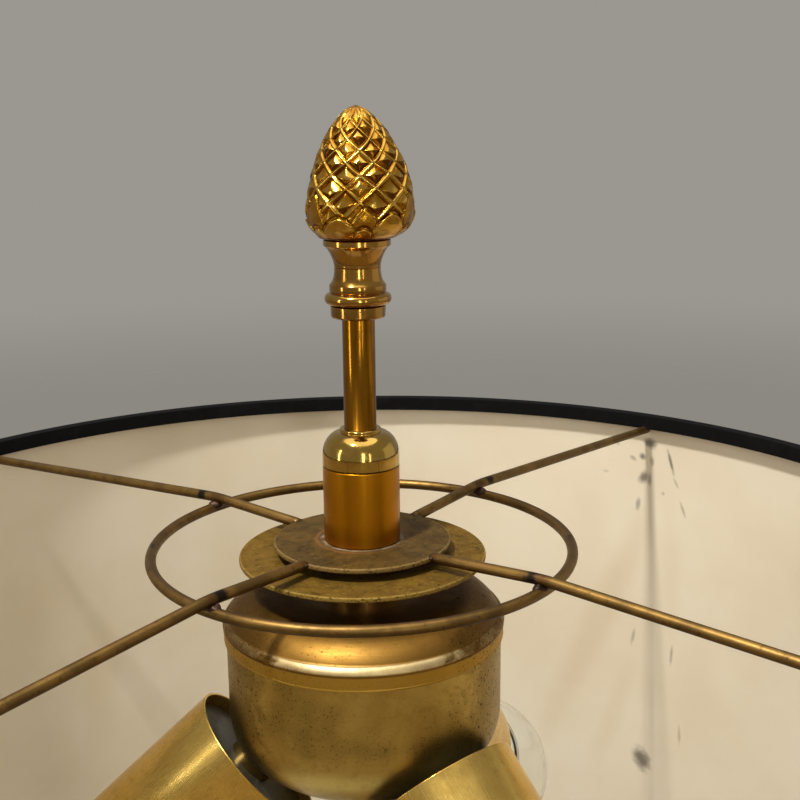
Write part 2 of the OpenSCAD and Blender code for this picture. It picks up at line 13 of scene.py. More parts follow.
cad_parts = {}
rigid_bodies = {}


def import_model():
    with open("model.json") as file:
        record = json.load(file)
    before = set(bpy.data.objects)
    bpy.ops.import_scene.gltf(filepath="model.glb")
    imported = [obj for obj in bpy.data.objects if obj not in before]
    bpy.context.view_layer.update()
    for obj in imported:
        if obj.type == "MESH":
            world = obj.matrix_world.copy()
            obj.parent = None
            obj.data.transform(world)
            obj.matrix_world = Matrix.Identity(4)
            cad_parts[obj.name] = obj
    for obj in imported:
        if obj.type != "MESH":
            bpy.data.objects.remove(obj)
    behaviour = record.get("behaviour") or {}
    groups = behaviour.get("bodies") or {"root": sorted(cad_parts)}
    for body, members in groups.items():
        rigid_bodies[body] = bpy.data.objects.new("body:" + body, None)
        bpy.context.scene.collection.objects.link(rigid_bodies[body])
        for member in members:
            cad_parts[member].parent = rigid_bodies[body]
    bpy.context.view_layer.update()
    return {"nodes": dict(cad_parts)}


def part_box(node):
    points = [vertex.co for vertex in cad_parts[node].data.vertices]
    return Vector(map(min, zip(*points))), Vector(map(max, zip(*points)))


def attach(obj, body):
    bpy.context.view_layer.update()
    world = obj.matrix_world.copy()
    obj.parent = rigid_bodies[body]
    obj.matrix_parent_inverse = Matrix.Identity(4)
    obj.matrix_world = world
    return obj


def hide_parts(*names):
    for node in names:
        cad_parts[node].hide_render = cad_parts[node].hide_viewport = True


for start_object in list(bpy.data.objects):
    bpy.data.objects.remove(start_object)
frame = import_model()
NODES = frame["nodes"]

MM = 0.001
TURN = 2 * math.pi
ARM_AZ = 50.4
SLEEVE_AZ = 188.0
SLEEVE_TILT = 41.3
MEET_Z = 558.1 * MM


def low(node):
    """Lowest height of a CAD node."""
    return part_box(node)[0].z


def high(node):
    """Highest height of a CAD node."""
    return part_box(node)[1].z


def reach(node):
    """Radius of a CAD node that is turned about the column."""
    lowest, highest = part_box(node)
    return (highest.x - lowest.x) / 2


# Camera

PLATE_TOP = high("spider_plate")
PHOTO_SIDE = 800
FOCAL_PIXELS = 1179.09
CAMERA_REACH = 376.3 * MM
CAMERA_RISE = math.radians(19.68)
CAMERA_TURNS = (-1.96, 6.60, 1.29)


def set_camera():
    """A pinhole at CAMERA_REACH from the plate's centre, first aimed at it, then turned about its
    own up, right and forward directions by the three angles solved from the photograph."""
    place = Vector((0, -math.cos(CAMERA_RISE), math.sin(CAMERA_RISE))) * CAMERA_REACH
    forward = -place.normalized()
    right = Vector((1, 0, 0))
    up = right.cross(forward)
    yaw, pitch, roll = (math.radians(a) for a in CAMERA_TURNS)
    turn = Matrix.Rotation(yaw, 3, up)
    forward, right = turn @ forward, turn @ right
    turn = Matrix.Rotation(pitch, 3, right)
    forward, up = turn @ forward, turn @ up
    turn = Matrix.Rotation(roll, 3, forward)
    right, up = turn @ right, turn @ up
    camera = bpy.data.objects.new("camera", bpy.data.cameras.new("camera"))
    camera.data.sensor_width = 36
    camera.data.lens = 36 * FOCAL_PIXELS / PHOTO_SIDE
    camera.data.clip_start = 0.01
    axes = Matrix((right, up, -forward)).transposed().to_4x4()
    camera.matrix_world = Matrix.Translation(place + Vector((0, 0, PLATE_TOP))) @ axes
    bpy.context.scene.collection.objects.link(camera)
    bpy.context.scene.camera = camera


set_camera()


# Finishes

class Field:
    """A socket of a finish, with Python's operators for its maths."""

    def __init__(self, finish, socket):
        self.finish, self.socket = finish, socket

    def maths(self, operation, *values):
        return self.finish.node("ShaderNodeMath", {"operation": operation}, values)

    def __add__(self, other):
        return self.maths("ADD", self, other)

    def __radd__(self, other):
        return self.maths("ADD", other, self)

    def __sub__(self, other):
        return self.maths("SUBTRACT", self, other)

    def __rsub__(self, other):
        return self.maths("SUBTRACT", other, self)

    def __mul__(self, other):
        return self.maths("MULTIPLY", self, other)

    def __rmul__(self, other):
        return self.maths("MULTIPLY", other, self)

    def __truediv__(self, other):
        return self.maths("DIVIDE", self, other)

    def __pow__(self, other):
        return self.maths("POWER", self, other)

    def sine(self):
        return self.maths("SINE", self)

    def size(self):
        return self.maths("ABSOLUTE", self)

    def most(self, other):
        return self.maths("MAXIMUM", self, other)

    def ease(self, start, end):
        """0 at start, 1 at end, and a smooth step between."""
        return self.finish.node(
            "ShaderNodeMapRange", {"interpolation_type": "SMOOTHSTEP"},
            {"Value": self, "From Min": start, "From Max": end})


class Finish:
    """A material under construction."""

    def __init__(self, name):
        self.material = bpy.data.materials.new(name)
        self.material.use_nodes = True
        self.tree = self.material.node_tree
        self.tree.nodes.clear()

    def node(self, kind, settings=None, values=(), out=0):
        """Adds a node: its settings first, then the values or links of its sockets."""
        made = self.tree.nodes.new(kind)
        for key, value in (settings or {}).items():
            setattr(made, key, value)
        pairs = values.items() if isinstance(values, dict) else enumerate(values)
        for key, value in pairs:
            if isinstance(value, Field):
                self.tree.links.new(value.socket, made.inputs[key])
            else:
                made.inputs[key].default_value = value
        return Field(self, made.outputs[out]) if len(made.outputs) else None

    def place(self):
        return self.node("ShaderNodeTexCoord", out="Object")

    def cloth_place(self):
        return self.node("ShaderNodeTexCoord", out="UV")

    def stretch(self, vector, scale, shift=(0, 0, 0)):
        return self.node("ShaderNodeMapping", values={
            "Vector": vector, "Scale": scale, "Location": shift})

    def axes(self, vector):
        split = self.node("ShaderNodeSeparateXYZ", values=(vector,))
        outputs = split.socket.node.outputs
        return [Field(self, outputs[i]) for i in range(3)]

    def noise(self, vector, scale, detail=3.0, rough=0.5, twist=0.0):
        return self.node("ShaderNodeTexNoise", values={
            "Vector": vector, "Scale": scale, "Detail": detail, "Roughness": rough,
            "Distortion": twist})

    def blend(self, share, first, second):
        """Colour first where share is 0 and second where it is 1."""
        made = self.node("ShaderNodeMix", {"data_type": "RGBA"}, {0: share}, out=2)
        inputs = made.socket.node.inputs
        for socket, value in ((inputs[6], first), (inputs[7], second)):
            if isinstance(value, Field):
                self.tree.links.new(value.socket, socket)
            else:
                socket.default_value = (*value, 1)
        return made

    def bump(self, height, depth, strength=1.0, under=None):
        """Normal of a height field, 1 of which stands depth metres high."""
        values = {"Height": height, "Distance": depth, "Strength": strength}
        if under is not None:
            values["Normal"] = under
        return self.node("ShaderNodeBump", values=values)

    def surface(self, **values):
        """Ends the finish in one Principled shader. Underscores stand for spaces."""
        sockets = {}
        for key, value in values.items():
            if isinstance(value, tuple) and len(value) == 3:
                value = (*value, 1)
            sockets[key.replace("_", " ")] = value
        shader = self.node("ShaderNodeBsdfPrincipled", values=sockets)
        self.node("ShaderNodeOutputMaterial", values=(shader,))
        return self.material


def polished(name, colour, deep, rough=0.1, rings=0.35, spots=0.3, groove=None, rubbed=()):
    """Turned, polished and lacquered brass: fine rings round the axis, soft tarnish in patches,
    small darker specks and fingerprints that change the gloss. Old lacquer lies dark red in a
    groove, given as the height of its middle, and round the heights in rubbed the skin is painted
    yellow, partly rubbed wear and partly a painted highlight."""
    f = Finish(name)
    place = f.place()
    patches = f.noise(place, 60, 4, 0.6, 0.6).ease(0.42, 0.72)
    specks = f.noise(place, 900, 2, 0.6).ease(0.64, 0.74)
    smears = f.noise(f.stretch(place, (1, 1, 2.5)), 140, 3, 0.55, 1.2).ease(0.4, 0.75)
    turning = f.noise(f.stretch(place, (0.02, 0.02, 1)), 5200, 2, 0.7)
    tone = f.blend(patches * 0.55, colour, deep)
    height = f.axes(place)[2]
    # Painted highlight, partly rubbed wear: yellow bands round the given heights
    for middle in rubbed:
        rub = 1 - (height - middle).size().ease(0.4 * MM, 1.0 * MM)
        tone = f.blend(rub * (0.55 - patches * 0.4), tone, (0.50, 0.28, 0.05))
    tone = f.blend(specks * spots, tone, tuple(0.35 * c for c in deep))
    if groove is not None:
        line = 1 - (height - groove).size().ease(0.2 * MM, 0.6 * MM)
        tone = f.blend(line * 0.92, tone, (0.045, 0.008, 0.003))
    return f.surface(
        Base_Color=tone, Metallic=1.0, Coat_Weight=0.2, Coat_Roughness=0.05,
        Roughness=rough + smears * 0.1 + patches * 0.05 + specks * 0.2,
        Normal=f.bump(turning, 0.000004, rings))


def rod_finish():
    """Lacquered rod: long darker streaks down its length, under a glossy skin."""
    f = Finish("lacquered_rod")
    place = f.place()
    streaks = f.noise(f.stretch(place, (1, 1, 0.03)), 1100, 3, 0.6).ease(0.35, 0.7)
    blots = f.noise(f.stretch(place, (1, 1, 0.35)), 420, 3, 0.6).ease(0.5, 0.8)
    tone = f.blend(streaks * 0.8, (0.30, 0.125, 0.008), (0.13, 0.046, 0.003))
    tone = f.blend(blots * 0.6, tone, (0.07, 0.024, 0.003))
    return f.surface(
        Base_Color=tone, Metallic=1.0, Roughness=0.15 + streaks * 0.12 + blots * 0.1,
        Normal=f.bump(streaks, 0.00001, 0.4))


def clamp_finish():
    """Orange satin lacquer on the clamp: soft upright streaks, clouds that change the gloss, and
    a dark red line round its foot, partly old lacquer collected there and partly painted contact
    shadow."""
    f = Finish("orange_satin")
    place = f.place()
    streaks = f.noise(f.stretch(place, (1, 1, 0.05)), 330, 3, 0.55).ease(0.3, 0.7)
    cloud = f.noise(place, 110, 4, 0.6, 0.4).ease(0.3, 0.75)
    specks = f.noise(place, 1400, 2, 0.5).ease(0.68, 0.74)
    # Painted contact shadow, partly old lacquer: a dark line round the clamp's foot
    foot = 1 - (f.axes(place)[2] - low("clamp_sleeve")).ease(0.15 * MM, 0.6 * MM)
    tone = f.blend(streaks * 0.45, (0.52, 0.225, 0.008), (0.37, 0.150, 0.004))
    tone = f.blend(cloud * 0.2, tone, (0.28, 0.105, 0.003))
    tone = f.blend(specks * 0.4, tone, (0.10, 0.035, 0.003))
    tone = f.blend(foot * 0.9, tone, (0.05, 0.012, 0.003))
    return f.surface(
        Base_Color=tone, Metallic=1.0, Roughness=0.28 + cloud * 0.06 + streaks * 0.03,
        Normal=f.bump(streaks * 0.5 - specks, 0.000006, 0.25))


def satin(name, colour, deep, grain_along, pits=0.5, rough=0.3, grain=0.5, lined=0.5, eaten=None,
          worn=None, dents=0):
    """Satin lacquered brass: brushed grain, cloudy wear, and black pits eaten through the skin.
    grain_along is the UV map or the object's rings, squeezed to draw the grain, lined is how far
    the grain shows as colour, eaten is the distance from the middle plane past which the skin is
    browned and the pits crowd together, partly pits and partly painted shade on the sides, worn is
    the height round which the skin is painted pale, partly rubbed wear and partly a painted
    highlight, with yellower skin below, and dents is how far small dents outdo the grain."""
    f = Finish(name)
    place = f.place()
    source = f.cloth_place() if grain_along == "uv" else place
    squeeze = (1, 0.025, 1) if grain_along == "uv" else (0.03, 0.03, 1)
    lines = f.noise(f.stretch(source, squeeze), 2600, 3, 0.65)
    clouds = f.noise(place, 55, 5, 0.6, 0.8)
    wear = f.noise(place, 230, 4, 0.65, 0.4)
    zone = f.noise(f.stretch(place, (1, 1, 1), (0.013, 0.004, 0.021)), 38, 2, 0.5).ease(0.5, 0.75)
    # Painted shade, partly pits: the skin is browned towards the left and right sides
    if eaten is not None:
        aside = f.axes(place)[0].size() + (wear - 0.5) * 0.02
        zone = zone.most(aside.ease(eaten, eaten + 9 * MM))
    fine = f.noise(place, 1500, 2, 0.5).ease(0.61, 0.67)
    large = f.noise(place, 560, 3, 0.6, 0.6).ease(0.655, 0.70)
    marks = (fine * (zone * 0.85 + 0.15)).most(large * zone ** 2) * pits
    tone = f.blend(clouds.ease(0.35, 0.7) * 0.55, colour, deep)
    tone = f.blend(wear.ease(0.5, 0.75) * 0.35, tone, tuple(0.62 * c for c in deep))
    tone = f.blend(((lines - 0.5) * 0.9 + 0.3) * lined, tone, tuple(0.6 * c for c in colour))
    tone = f.blend(zone * (0.62 * pits), tone, tuple(0.45 * c for c in deep))
    # Painted highlight, partly rubbed wear: a pale band round the height worn
    if worn is not None:
        above = f.axes(place)[2] - worn
        rub = 1 - above.size().ease(0.9 * MM, 1.3 * MM)
        tone = f.blend((1 - above.ease(-2.1 * MM, -1.6 * MM)) * 0.48, tone, (0.74, 0.46, 0.07))
        tone = f.blend(rub * (1.2 - wear - zone * 0.6), tone, (0.72, 0.56, 0.28))
    tone = f.blend(marks, tone, (0.035, 0.019, 0.005))
    return f.surface(
        Base_Color=tone, Metallic=1.0,
        Roughness=rough + (lines - 0.5) * 0.18 + clouds * 0.08 + marks * 0.35,
        Normal=f.bump(lines - marks * 1.6 + wear * dents, 0.000012, grain))


def fruit_finish():
    """Gilt casting, by the piece's own 'depth' attribute: bright gold where it is 0, on the ridges
    and crests, orange on the slopes, and dark brown where it is 1: lacquer left in the low places,
    painted shade on the lower faces and a painted shadow line above the leaves' edges, all on a
    slightly uneven skin."""
    f = Finish("gilt_casting")
    place = f.place()
    depth = f.node("ShaderNodeAttribute", {"attribute_name": "depth"}, out="Fac")
    level = depth + (f.noise(place, 520, 3, 0.6) - 0.5) * 0.55
    rub = f.noise(place, 200, 4, 0.6).ease(0.42, 0.7)
    skin = f.noise(place, 480, 3, 0.6, 0.3)
    tone = f.blend(level.ease(0.0, 0.5), (0.57, 0.335, 0.057), (0.43, 0.185, 0.010))
    tone = f.blend(rub * 0.45, tone, (0.32, 0.135, 0.008))
    tone = f.blend(level.ease(0.45, 0.85) * 0.96, tone, (0.105, 0.030, 0.0015))
    return f.surface(
        Base_Color=tone, Metallic=1.0, Roughness=0.16 + rub * 0.1 + level.ease(0.4, 0.9) * 0.12,
        Normal=f.bump(skin, 0.00018, 0.6))


def oxidised(name, colour, brown, dark, pale, ring_in=None, rim=None):
    """Oxidised plate: brown and grey blooms, dark specks and bright dust. Round the radius ring_in,
    where the clamp's foot stands, lies a pale crust and outside it a thin orange stain. At the
    radius rim the edge is rubbed to brass between crusted specks."""
    f = Finish(name)
    place = f.place()
    x, y, z = f.axes(place)
    radius = (x * x + y * y) ** 0.5
    bloom = f.noise(place, 130, 5, 0.65, 0.7)
    grit = f.noise(place, 1500, 3, 0.6)
    fleck = f.noise(f.stretch(place, (1, 1, 1), (0.02, 0.03, 0)), 800, 2, 0.6).ease(0.62, 0.72)
    tone = f.blend(bloom.ease(0.35, 0.65), colour, brown)
    tone = f.blend(f.noise(place, 420, 4, 0.7).ease(0.52, 0.68) * 0.7, tone, dark)
    tone = f.blend(fleck * 0.4, tone, pale)
    tone = f.blend(grit.ease(0.6, 0.7) * 0.35, tone, dark)
    if ring_in is not None:
        drift = radius + (f.noise(place, 170, 3, 0.6) - 0.5) * 0.002
        crust = 1 - drift.ease(ring_in + 0.3 * MM, ring_in + 1.9 * MM)
        stain = 1 - (drift - (ring_in + 2.5 * MM)).size().ease(0.3 * MM, 0.9 * MM)
        side = 1 - x.ease(-6 * MM, 9 * MM)
        tone = f.blend(stain * (side * 0.45 + 0.15), tone, (0.19, 0.085, 0.025))
        tone = f.blend(crust * f.noise(place, 260, 4, 0.7).ease(0.34, 0.62) * (side * 0.3 + 0.35),
                       tone, (0.42, 0.31, 0.21))
    if rim is not None:
        edge = radius.ease(rim - 0.7 * MM, rim - 0.35 * MM)
        scale = f.noise(place, 760, 3, 0.65)
        tone = f.blend(edge * scale.ease(0.3, 0.55) * 0.7, tone, pale)
        tone = f.blend(edge * scale.ease(0.56, 0.64) * 0.8, tone, dark)
    return f.surface(
        Base_Color=tone, Metallic=0.38 - bloom * 0.3, Roughness=0.46 + bloom * 0.22,
        Specular_IOR_Level=0.1,
        Normal=f.bump(grit * 0.6 + bloom, 0.00004, 0.7))


def wire(name, colour, brown, dark):
    """Tarnished plated wire: long brown and dark patches with a faint drawn grain, painted shade on
    its underside as the 'depth' attribute says, scorched black beside the crossings and red where
    it was brazed."""
    f = Finish(name)
    place = f.place()
    x, y, z = f.axes(place)
    out = (x * x + y * y) ** 0.5
    underside_painted_shade = f.node("ShaderNodeAttribute", {"attribute_name": "depth"}, out="Fac")
    patch = f.noise(place, 75, 5, 0.65, 0.5)
    small = f.noise(place, 640, 3, 0.6)
    ragged = (f.noise(place, 330, 3, 0.6) - 0.5) * 0.004
    tone = f.blend(patch.ease(0.38, 0.66), colour, brown)
    tone = f.blend(small.ease(0.58, 0.72) * 0.6, tone, dark)
    # Painted shade: the wire is darkened towards its underside
    tone = f.blend(underside_painted_shade.ease(0.25, 1.0) * 0.75, tone, dark)
    behind = y.ease(-5 * MM, 5 * MM)
    middle = behind * (9.6 * MM) + 62.6 * MM
    scorch = 1 - ((out - middle).size() + ragged).ease(1.0 * MM, 2.6 * MM)
    blush = 1 - ((out - 65 * MM).size() + ragged * 2).ease(1.5 * MM, 5.5 * MM)
    root = (1 - (out + ragged * 2).ease(28.5 * MM, 32 * MM)) * 0.75
    on_arm = z.ease(PLATE_TOP - 1.2 * MM, PLATE_TOP - 0.6 * MM)
    tone = f.blend(blush.most(root) * on_arm * 0.6, tone, (0.06, 0.022, 0.009))
    tone = f.blend(scorch * on_arm * 0.9, tone, (0.009, 0.008, 0.009))
    return f.surface(
        Base_Color=tone, Metallic=0.95, Roughness=0.36 + patch * 0.14 + small * 0.08,
        Normal=f.bump(small, 0.00002, 0.5))


def matt(name, colour, other, rough, scale=400, depth=0.00004, metallic=0.0, share=0.6):
    """A matt or painted surface: two tones in noise of one scale, and the same noise as grain."""
    f = Finish(name)
    place = f.place()
    grain = f.noise(place, scale, 4, 0.65, 0.3)
    broad = f.noise(place, scale / 7, 3, 0.6)
    tone = f.blend(grain.ease(0.35, 0.7) * share, colour, other)
    tone = f.blend(broad.ease(0.45, 0.75) * share * 0.6, tone, other)
    return f.surface(
        Base_Color=tone, Metallic=metallic, Roughness=rough + (grain - 0.5) * 0.15,
        Normal=f.bump(grain, depth, 0.7))


def glass(name, tint, rough=0.0, dust=0.06):
    """Clear glass with a thin uneven film of dust that dulls it in places."""
    f = Finish(name)
    place = f.place()
    film = f.noise(place, 90, 4, 0.6, 0.5).ease(0.4, 0.8)
    return f.surface(
        Base_Color=tint, Roughness=rough + film * dust, Transmission_Weight=1.0, IOR=1.45)


def cloth():
    """Black woven cloth. Threads run along u and v, half a millimetre apart: the weave's height is
    the product of the two thread waves, shifted by half a thread in turn."""
    f = Finish("black_cloth")
    place = f.cloth_place()
    u, v, w = f.axes(place)
    count = TURN / (0.55 * MM)
    weft = (u * count).sine()
    warp = (v * count).sine()
    weave = (weft * warp) * 0.5 + 0.5
    slub = f.noise(f.stretch(place, (0.05, 1, 1)), 900, 2, 0.6)
    fade = f.noise(place, 22, 4, 0.6).ease(0.4, 0.75)
    lint = f.noise(place, 1300, 2, 0.5).ease(0.7, 0.76)
    tone = f.blend(weave * 0.7 + slub * 0.2, (0.006, 0.006, 0.007), (0.024, 0.023, 0.024))
    tone = f.blend(fade * 0.35, tone, (0.035, 0.031, 0.028))
    tone = f.blend(lint * 0.25, tone, (0.16, 0.15, 0.14))
    return f.surface(
        Base_Color=tone, Roughness=0.88 - weave * 0.06, Normal=f.bump(weave + slub, 0.00012, 0.8),
        Specular_IOR_Level=0.15, Sheen_Weight=0.04, Sheen_Roughness=0.5)


def ribbon():
    """Black edge tape: fine ribs across it, a little glossier than the cloth."""
    f = Finish("black_tape")
    u, v, w = f.axes(f.cloth_place())
    ribs = (u * (TURN / (0.6 * MM))).sine() * 0.5 + 0.5
    worn = f.noise(f.place(), 160, 4, 0.65).ease(0.5, 0.8)
    tone = f.blend(worn * 0.5, (0.0045, 0.0045, 0.0045), (0.014, 0.012, 0.009))
    return f.surface(
        Base_Color=tone, Roughness=0.85 - ribs * 0.06, Normal=f.bump(ribs, 0.00006, 0.7),
        Specular_IOR_Level=0.06)


# Marks on the liner: angle round the column in degrees and height in millimetres of the middle,
# half width and half height in millimetres, lean, strength
SMUDGES = (
    (50.1, 584.6, 3.4, 2.6, 0.2, 0.95), (51.2, 577.6, 1.8, 1.7, 0.0, 0.90),
    (49.9, 576.0, 1.2, 2.4, 0.0, 0.55), (51.1, 567.4, 2.5, 3.2, -0.3, 0.90),
    (50.3, 567.0, 1.5, 3.0, 0.0, 0.60), (52.5, 576.0, 1.6, 1.3, 0.6, 0.50),
    (51.9, 553.8, 1.3, 3.2, -0.15, 0.60), (47.3, 577.0, 0.9, 5.8, 0.25, 0.85),
    (46.6, 567.4, 0.8, 2.4, 0.5, 0.40), (45.7, 555.4, 0.8, 3.6, 0.35, 0.50),
    (48.4, 561.2, 1.0, 1.0, 0.0, 0.45), (52.8, 484.0, 0.9, 4.6, -0.2, 0.45),
    (47.5, 479.5, 0.8, 5.6, -0.1, 0.50), (46.5, 437.5, 0.8, 5.4, 0.0, 0.38),
    (51.8, 416.4, 4.4, 6.6, 0.12, 0.95), (54.6, 582.0, 1.0, 0.8, 0.0, 0.35),
    (56.3, 567.5, 1.4, 0.7, 0.0, 0.30),
)
# Broad tan stains that run down the paper, in the same form
STAINS = (
    (57.5, 490.0, 9.0, 62.0, -0.42, 0.75), (62.0, 452.0, 8.0, 46.0, -0.35, 0.45),
    (55.6, 440.0, 6.0, 38.0, -0.30, 0.45), (47.5, 520.0, 5.0, 40.0, 0.0, 0.30),
    (44.0, 468.0, 12.0, 30.0, 0.0, 0.25), (58.8, 545.0, 9.0, 24.0, 0.05, 0.30),
    (126.0, 470.0, 10.0, 40.0, 0.0, 0.40), (112.0, 430.0, 22.0, 30.0, 0.0, 0.25),
)
LINER_R = 216.0


def parchment():
    """Old cream liner paper, on a UV map of round length and height in metres. Each mark is an
    ellipse whose edge noise eats into, and a soft grey line down the wall below an arm is partly
    the paper's seam and partly a painted shadow of the arm."""
    f = Finish("cream_parchment")
    flat = f.cloth_place()
    u, v, w = f.axes(flat)
    ragged = (f.noise(flat, 300, 2, 0.5) - 0.5) * 0.8
    soft = (f.noise(flat, 45, 3, 0.6) - 0.5) * 0.9

    def mark(angle, height, half_w, half_h, lean, strength, rough_edge):
        across = (u - LINER_R * MM * math.radians(angle % 360)) / (half_w * MM)
        down = (v - height * MM) / (half_h * MM)
        across = across - down * (lean * half_h / half_w)
        away = (across * across + down * down) ** 0.5 + rough_edge
        return (1 - away.ease(0.25, 1.4)) * strength

    dirt = mark(*SMUDGES[0], ragged)
    for row in SMUDGES[1:]:
        dirt = dirt.most(mark(*row, ragged))
    tan = mark(*STAINS[0], soft)
    for row in STAINS[1:]:
        tan = tan.most(mark(*row, soft))
    # Painted shadow, partly the paper's seam: a soft grey line down the wall below an arm
    seam_and_shadow_u = (0.585 - v) * 0.011 + LINER_R * MM * math.radians(49.9)
    faint = f.noise(flat, 28, 3, 0.6).ease(0.3, 0.7) * 0.5 + 0.5
    seam_and_shadow_line = (1 - ((u - seam_and_shadow_u).size() + (soft * 0.0006)).ease(0.2 * MM, 2.5 * MM)) * faint
    fibre = f.noise(f.stretch(flat, (1, 0.35, 1)), 750, 4, 0.7)
    cloud = f.noise(flat, 16, 4, 0.55)
    tone = f.blend(cloud.ease(0.3, 0.7), (0.84, 0.745, 0.57), (0.79, 0.68, 0.50))
    tone = f.blend(fibre.ease(0.55, 0.8) * 0.12, tone, (0.60, 0.48, 0.31))
    tone = f.blend(tan * 0.5, tone, (0.64, 0.50, 0.31))
    tone = f.blend(seam_and_shadow_line * 0.22, tone, (0.42, 0.37, 0.31))
    tone = f.blend(dirt * 0.9, tone, (0.11, 0.095, 0.07))
    return f.surface(
        Base_Color=tone, Roughness=0.62 + fibre * 0.1, Normal=f.bump(fibre + cloud, 0.00005, 0.5))


FINISHES = {
    # The neck's yellow bands at its shoulder and bead are painted highlights, partly wear
    "neck": polished("reddish_brass", (0.40, 0.195, 0.030), (0.10, 0.034, 0.002), 0.12, 0.3, 0.3,
                     None, (low("neck_base") + 10.9 * MM, low("neck_base") + 6.7 * MM)),
    "dome": polished("mirror_brass", (0.50, 0.31, 0.062), (0.24, 0.12, 0.014), 0.09, 0.15, 0.25,
                     low("dome_cap") + 4.1 * MM),
    "brass": polished("brass", (0.46, 0.29, 0.075), (0.27, 0.15, 0.034), 0.13, 0.5, 0.4),
    "rod": rod_finish(),
    # The body's browned sides are painted shade, partly pits
    "body": satin("satin_body", (0.61, 0.43, 0.120), (0.38, 0.24, 0.050), "rings", 1.0, 0.33, 0.5,
                  0.4, 27 * MM),
    # The lid's pale band at the bead is a painted highlight, partly wear, and its browned sides are
    # painted shade, partly pits
    "lid": satin("satin_lid", (0.28, 0.145, 0.028), (0.19, 0.088, 0.014), "rings", 0.9, 0.44, 1.8,
                 0.8, 22 * MM, low("canister_lid") + 6.3 * MM),
    "clamp": clamp_finish(),
    "sleeve": satin("brushed_sleeve", (0.86, 0.58, 0.15), (0.54, 0.32, 0.06), "uv", 0.35, 0.24,
                    0.6, dents=6),
    "fruit": fruit_finish(),
    "plate": oxidised("oxidised_plate", (0.102, 0.057, 0.012), (0.058, 0.032, 0.008),
                      (0.024, 0.014, 0.005), (0.25, 0.155, 0.045), reach("clamp_sleeve"),
                      reach("spider_plate")),
    "disc": oxidised("oxidised_disc", (0.165, 0.090, 0.012), (0.105, 0.056, 0.008),
                     (0.038, 0.021, 0.004), (0.30, 0.19, 0.04), rim=reach("support_disc")),
    "wire": wire("tarnished_wire", (0.23, 0.130, 0.034), (0.13, 0.074, 0.021),
                 (0.04, 0.024, 0.009)),
    "braze": matt("braze", (0.022, 0.013, 0.008), (0.12, 0.058, 0.030), 0.5, 900, 0.0002, 0.8),
    "end_disc": matt("dusty_grey", (0.022, 0.024, 0.02), (0.10, 0.10, 0.085), 0.5, 500),
    "ceramic": matt("white_ceramic", (0.78, 0.74, 0.65), (0.60, 0.54, 0.44), 0.4, 300, share=0.3),
    "bakelite": matt("black_bakelite", (0.012, 0.010, 0.009), (0.03, 0.022, 0.016), 0.25, 500,
                     0.00001),
    "lead": matt("lead_sleeve", (0.26, 0.15, 0.06), (0.16, 0.09, 0.04), 0.5, 600),
    "felt": matt("green_felt", (0.030, 0.040, 0.026), (0.07, 0.08, 0.055), 0.95, 1600, 0.0003),
    "iron": matt("painted_iron", (0.03, 0.028, 0.026), (0.09, 0.075, 0.06), 0.6, 350, 0.0002, 0.3),
    "cap": matt("bright_cap", (0.72, 0.70, 0.66), (0.48, 0.45, 0.40), 0.25, 300, 0.00002, 1.0),
    "glass": glass("bulb_glass", (0.97, 0.985, 0.98)),
    "stem": glass("stem_glass", (0.93, 0.95, 0.95), 0.05, 0.1),
    "cloth": cloth(),
    "tape": ribbon(),
    "liner": parchment(),
}
KEPT = {
    "felt": ["felt_pad"], "iron": ["base_weight"], "ceramic": ["terminal_block"],
    "brass": ["base_cover", "base_nut", "foot_collar", "column_tube", "top_collar",
              "centre_pipe", "canister_nut", "terminal_screws", "socket_nipples", "nipple_nuts",
              "nipple_collars", "socket_contacts", "disc_hub", "clamp_bush"],
    "end_disc": ["end_discs"], "bakelite": ["lampholder_1", "lampholder_2", "lampholder_3",
                                            "cord_bushing"],
    "lead": ["socket_leads"], "disc": ["seat_spacer"], "wire": ["top_hoop", "bottom_hoop"],
    "cap": ["bulb_cap_1", "bulb_cap_2", "bulb_cap_3"],
    "stem": ["bulb_filament_1", "bulb_filament_2", "bulb_filament_3"],
}
for finish_name, node_names in KEPT.items():
    for node_name in node_names:
        for material_slot in NODES[node_name].material_slots:
            material_slot.material = FINISHES[finish_name]


# Pieces

def add_piece(name, points, faces, finish, body, stands_for, corners=None, depth=None):
    """Puts arrays in a mesh: points in metres, faces as lists of point numbers, corners as one UV
    pair for each corner of each face, depth as one number for each point."""
    mesh = bpy.data.meshes.new(name)
    mesh.from_pydata(points.tolist(), [], faces)
    mesh.polygons.foreach_set("use_smooth", np.ones(len(mesh.polygons), bool))
    if corners is not None:
        layer = mesh.uv_layers.new(name="UVMap")
        layer.data.foreach_set("uv", np.asarray(corners, np.float32).ravel())
    if depth is not None:
        attribute = mesh.attributes.new("depth", "FLOAT", "POINT")
        attribute.data.foreach_set("value", np.asarray(depth, np.float32))
    mesh.materials.append(FINISHES[finish])
    made = bpy.data.objects.new(name, mesh)
    bpy.context.scene.collection.objects.link(made)
    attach(made, body)
    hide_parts(*stands_for)
    return made


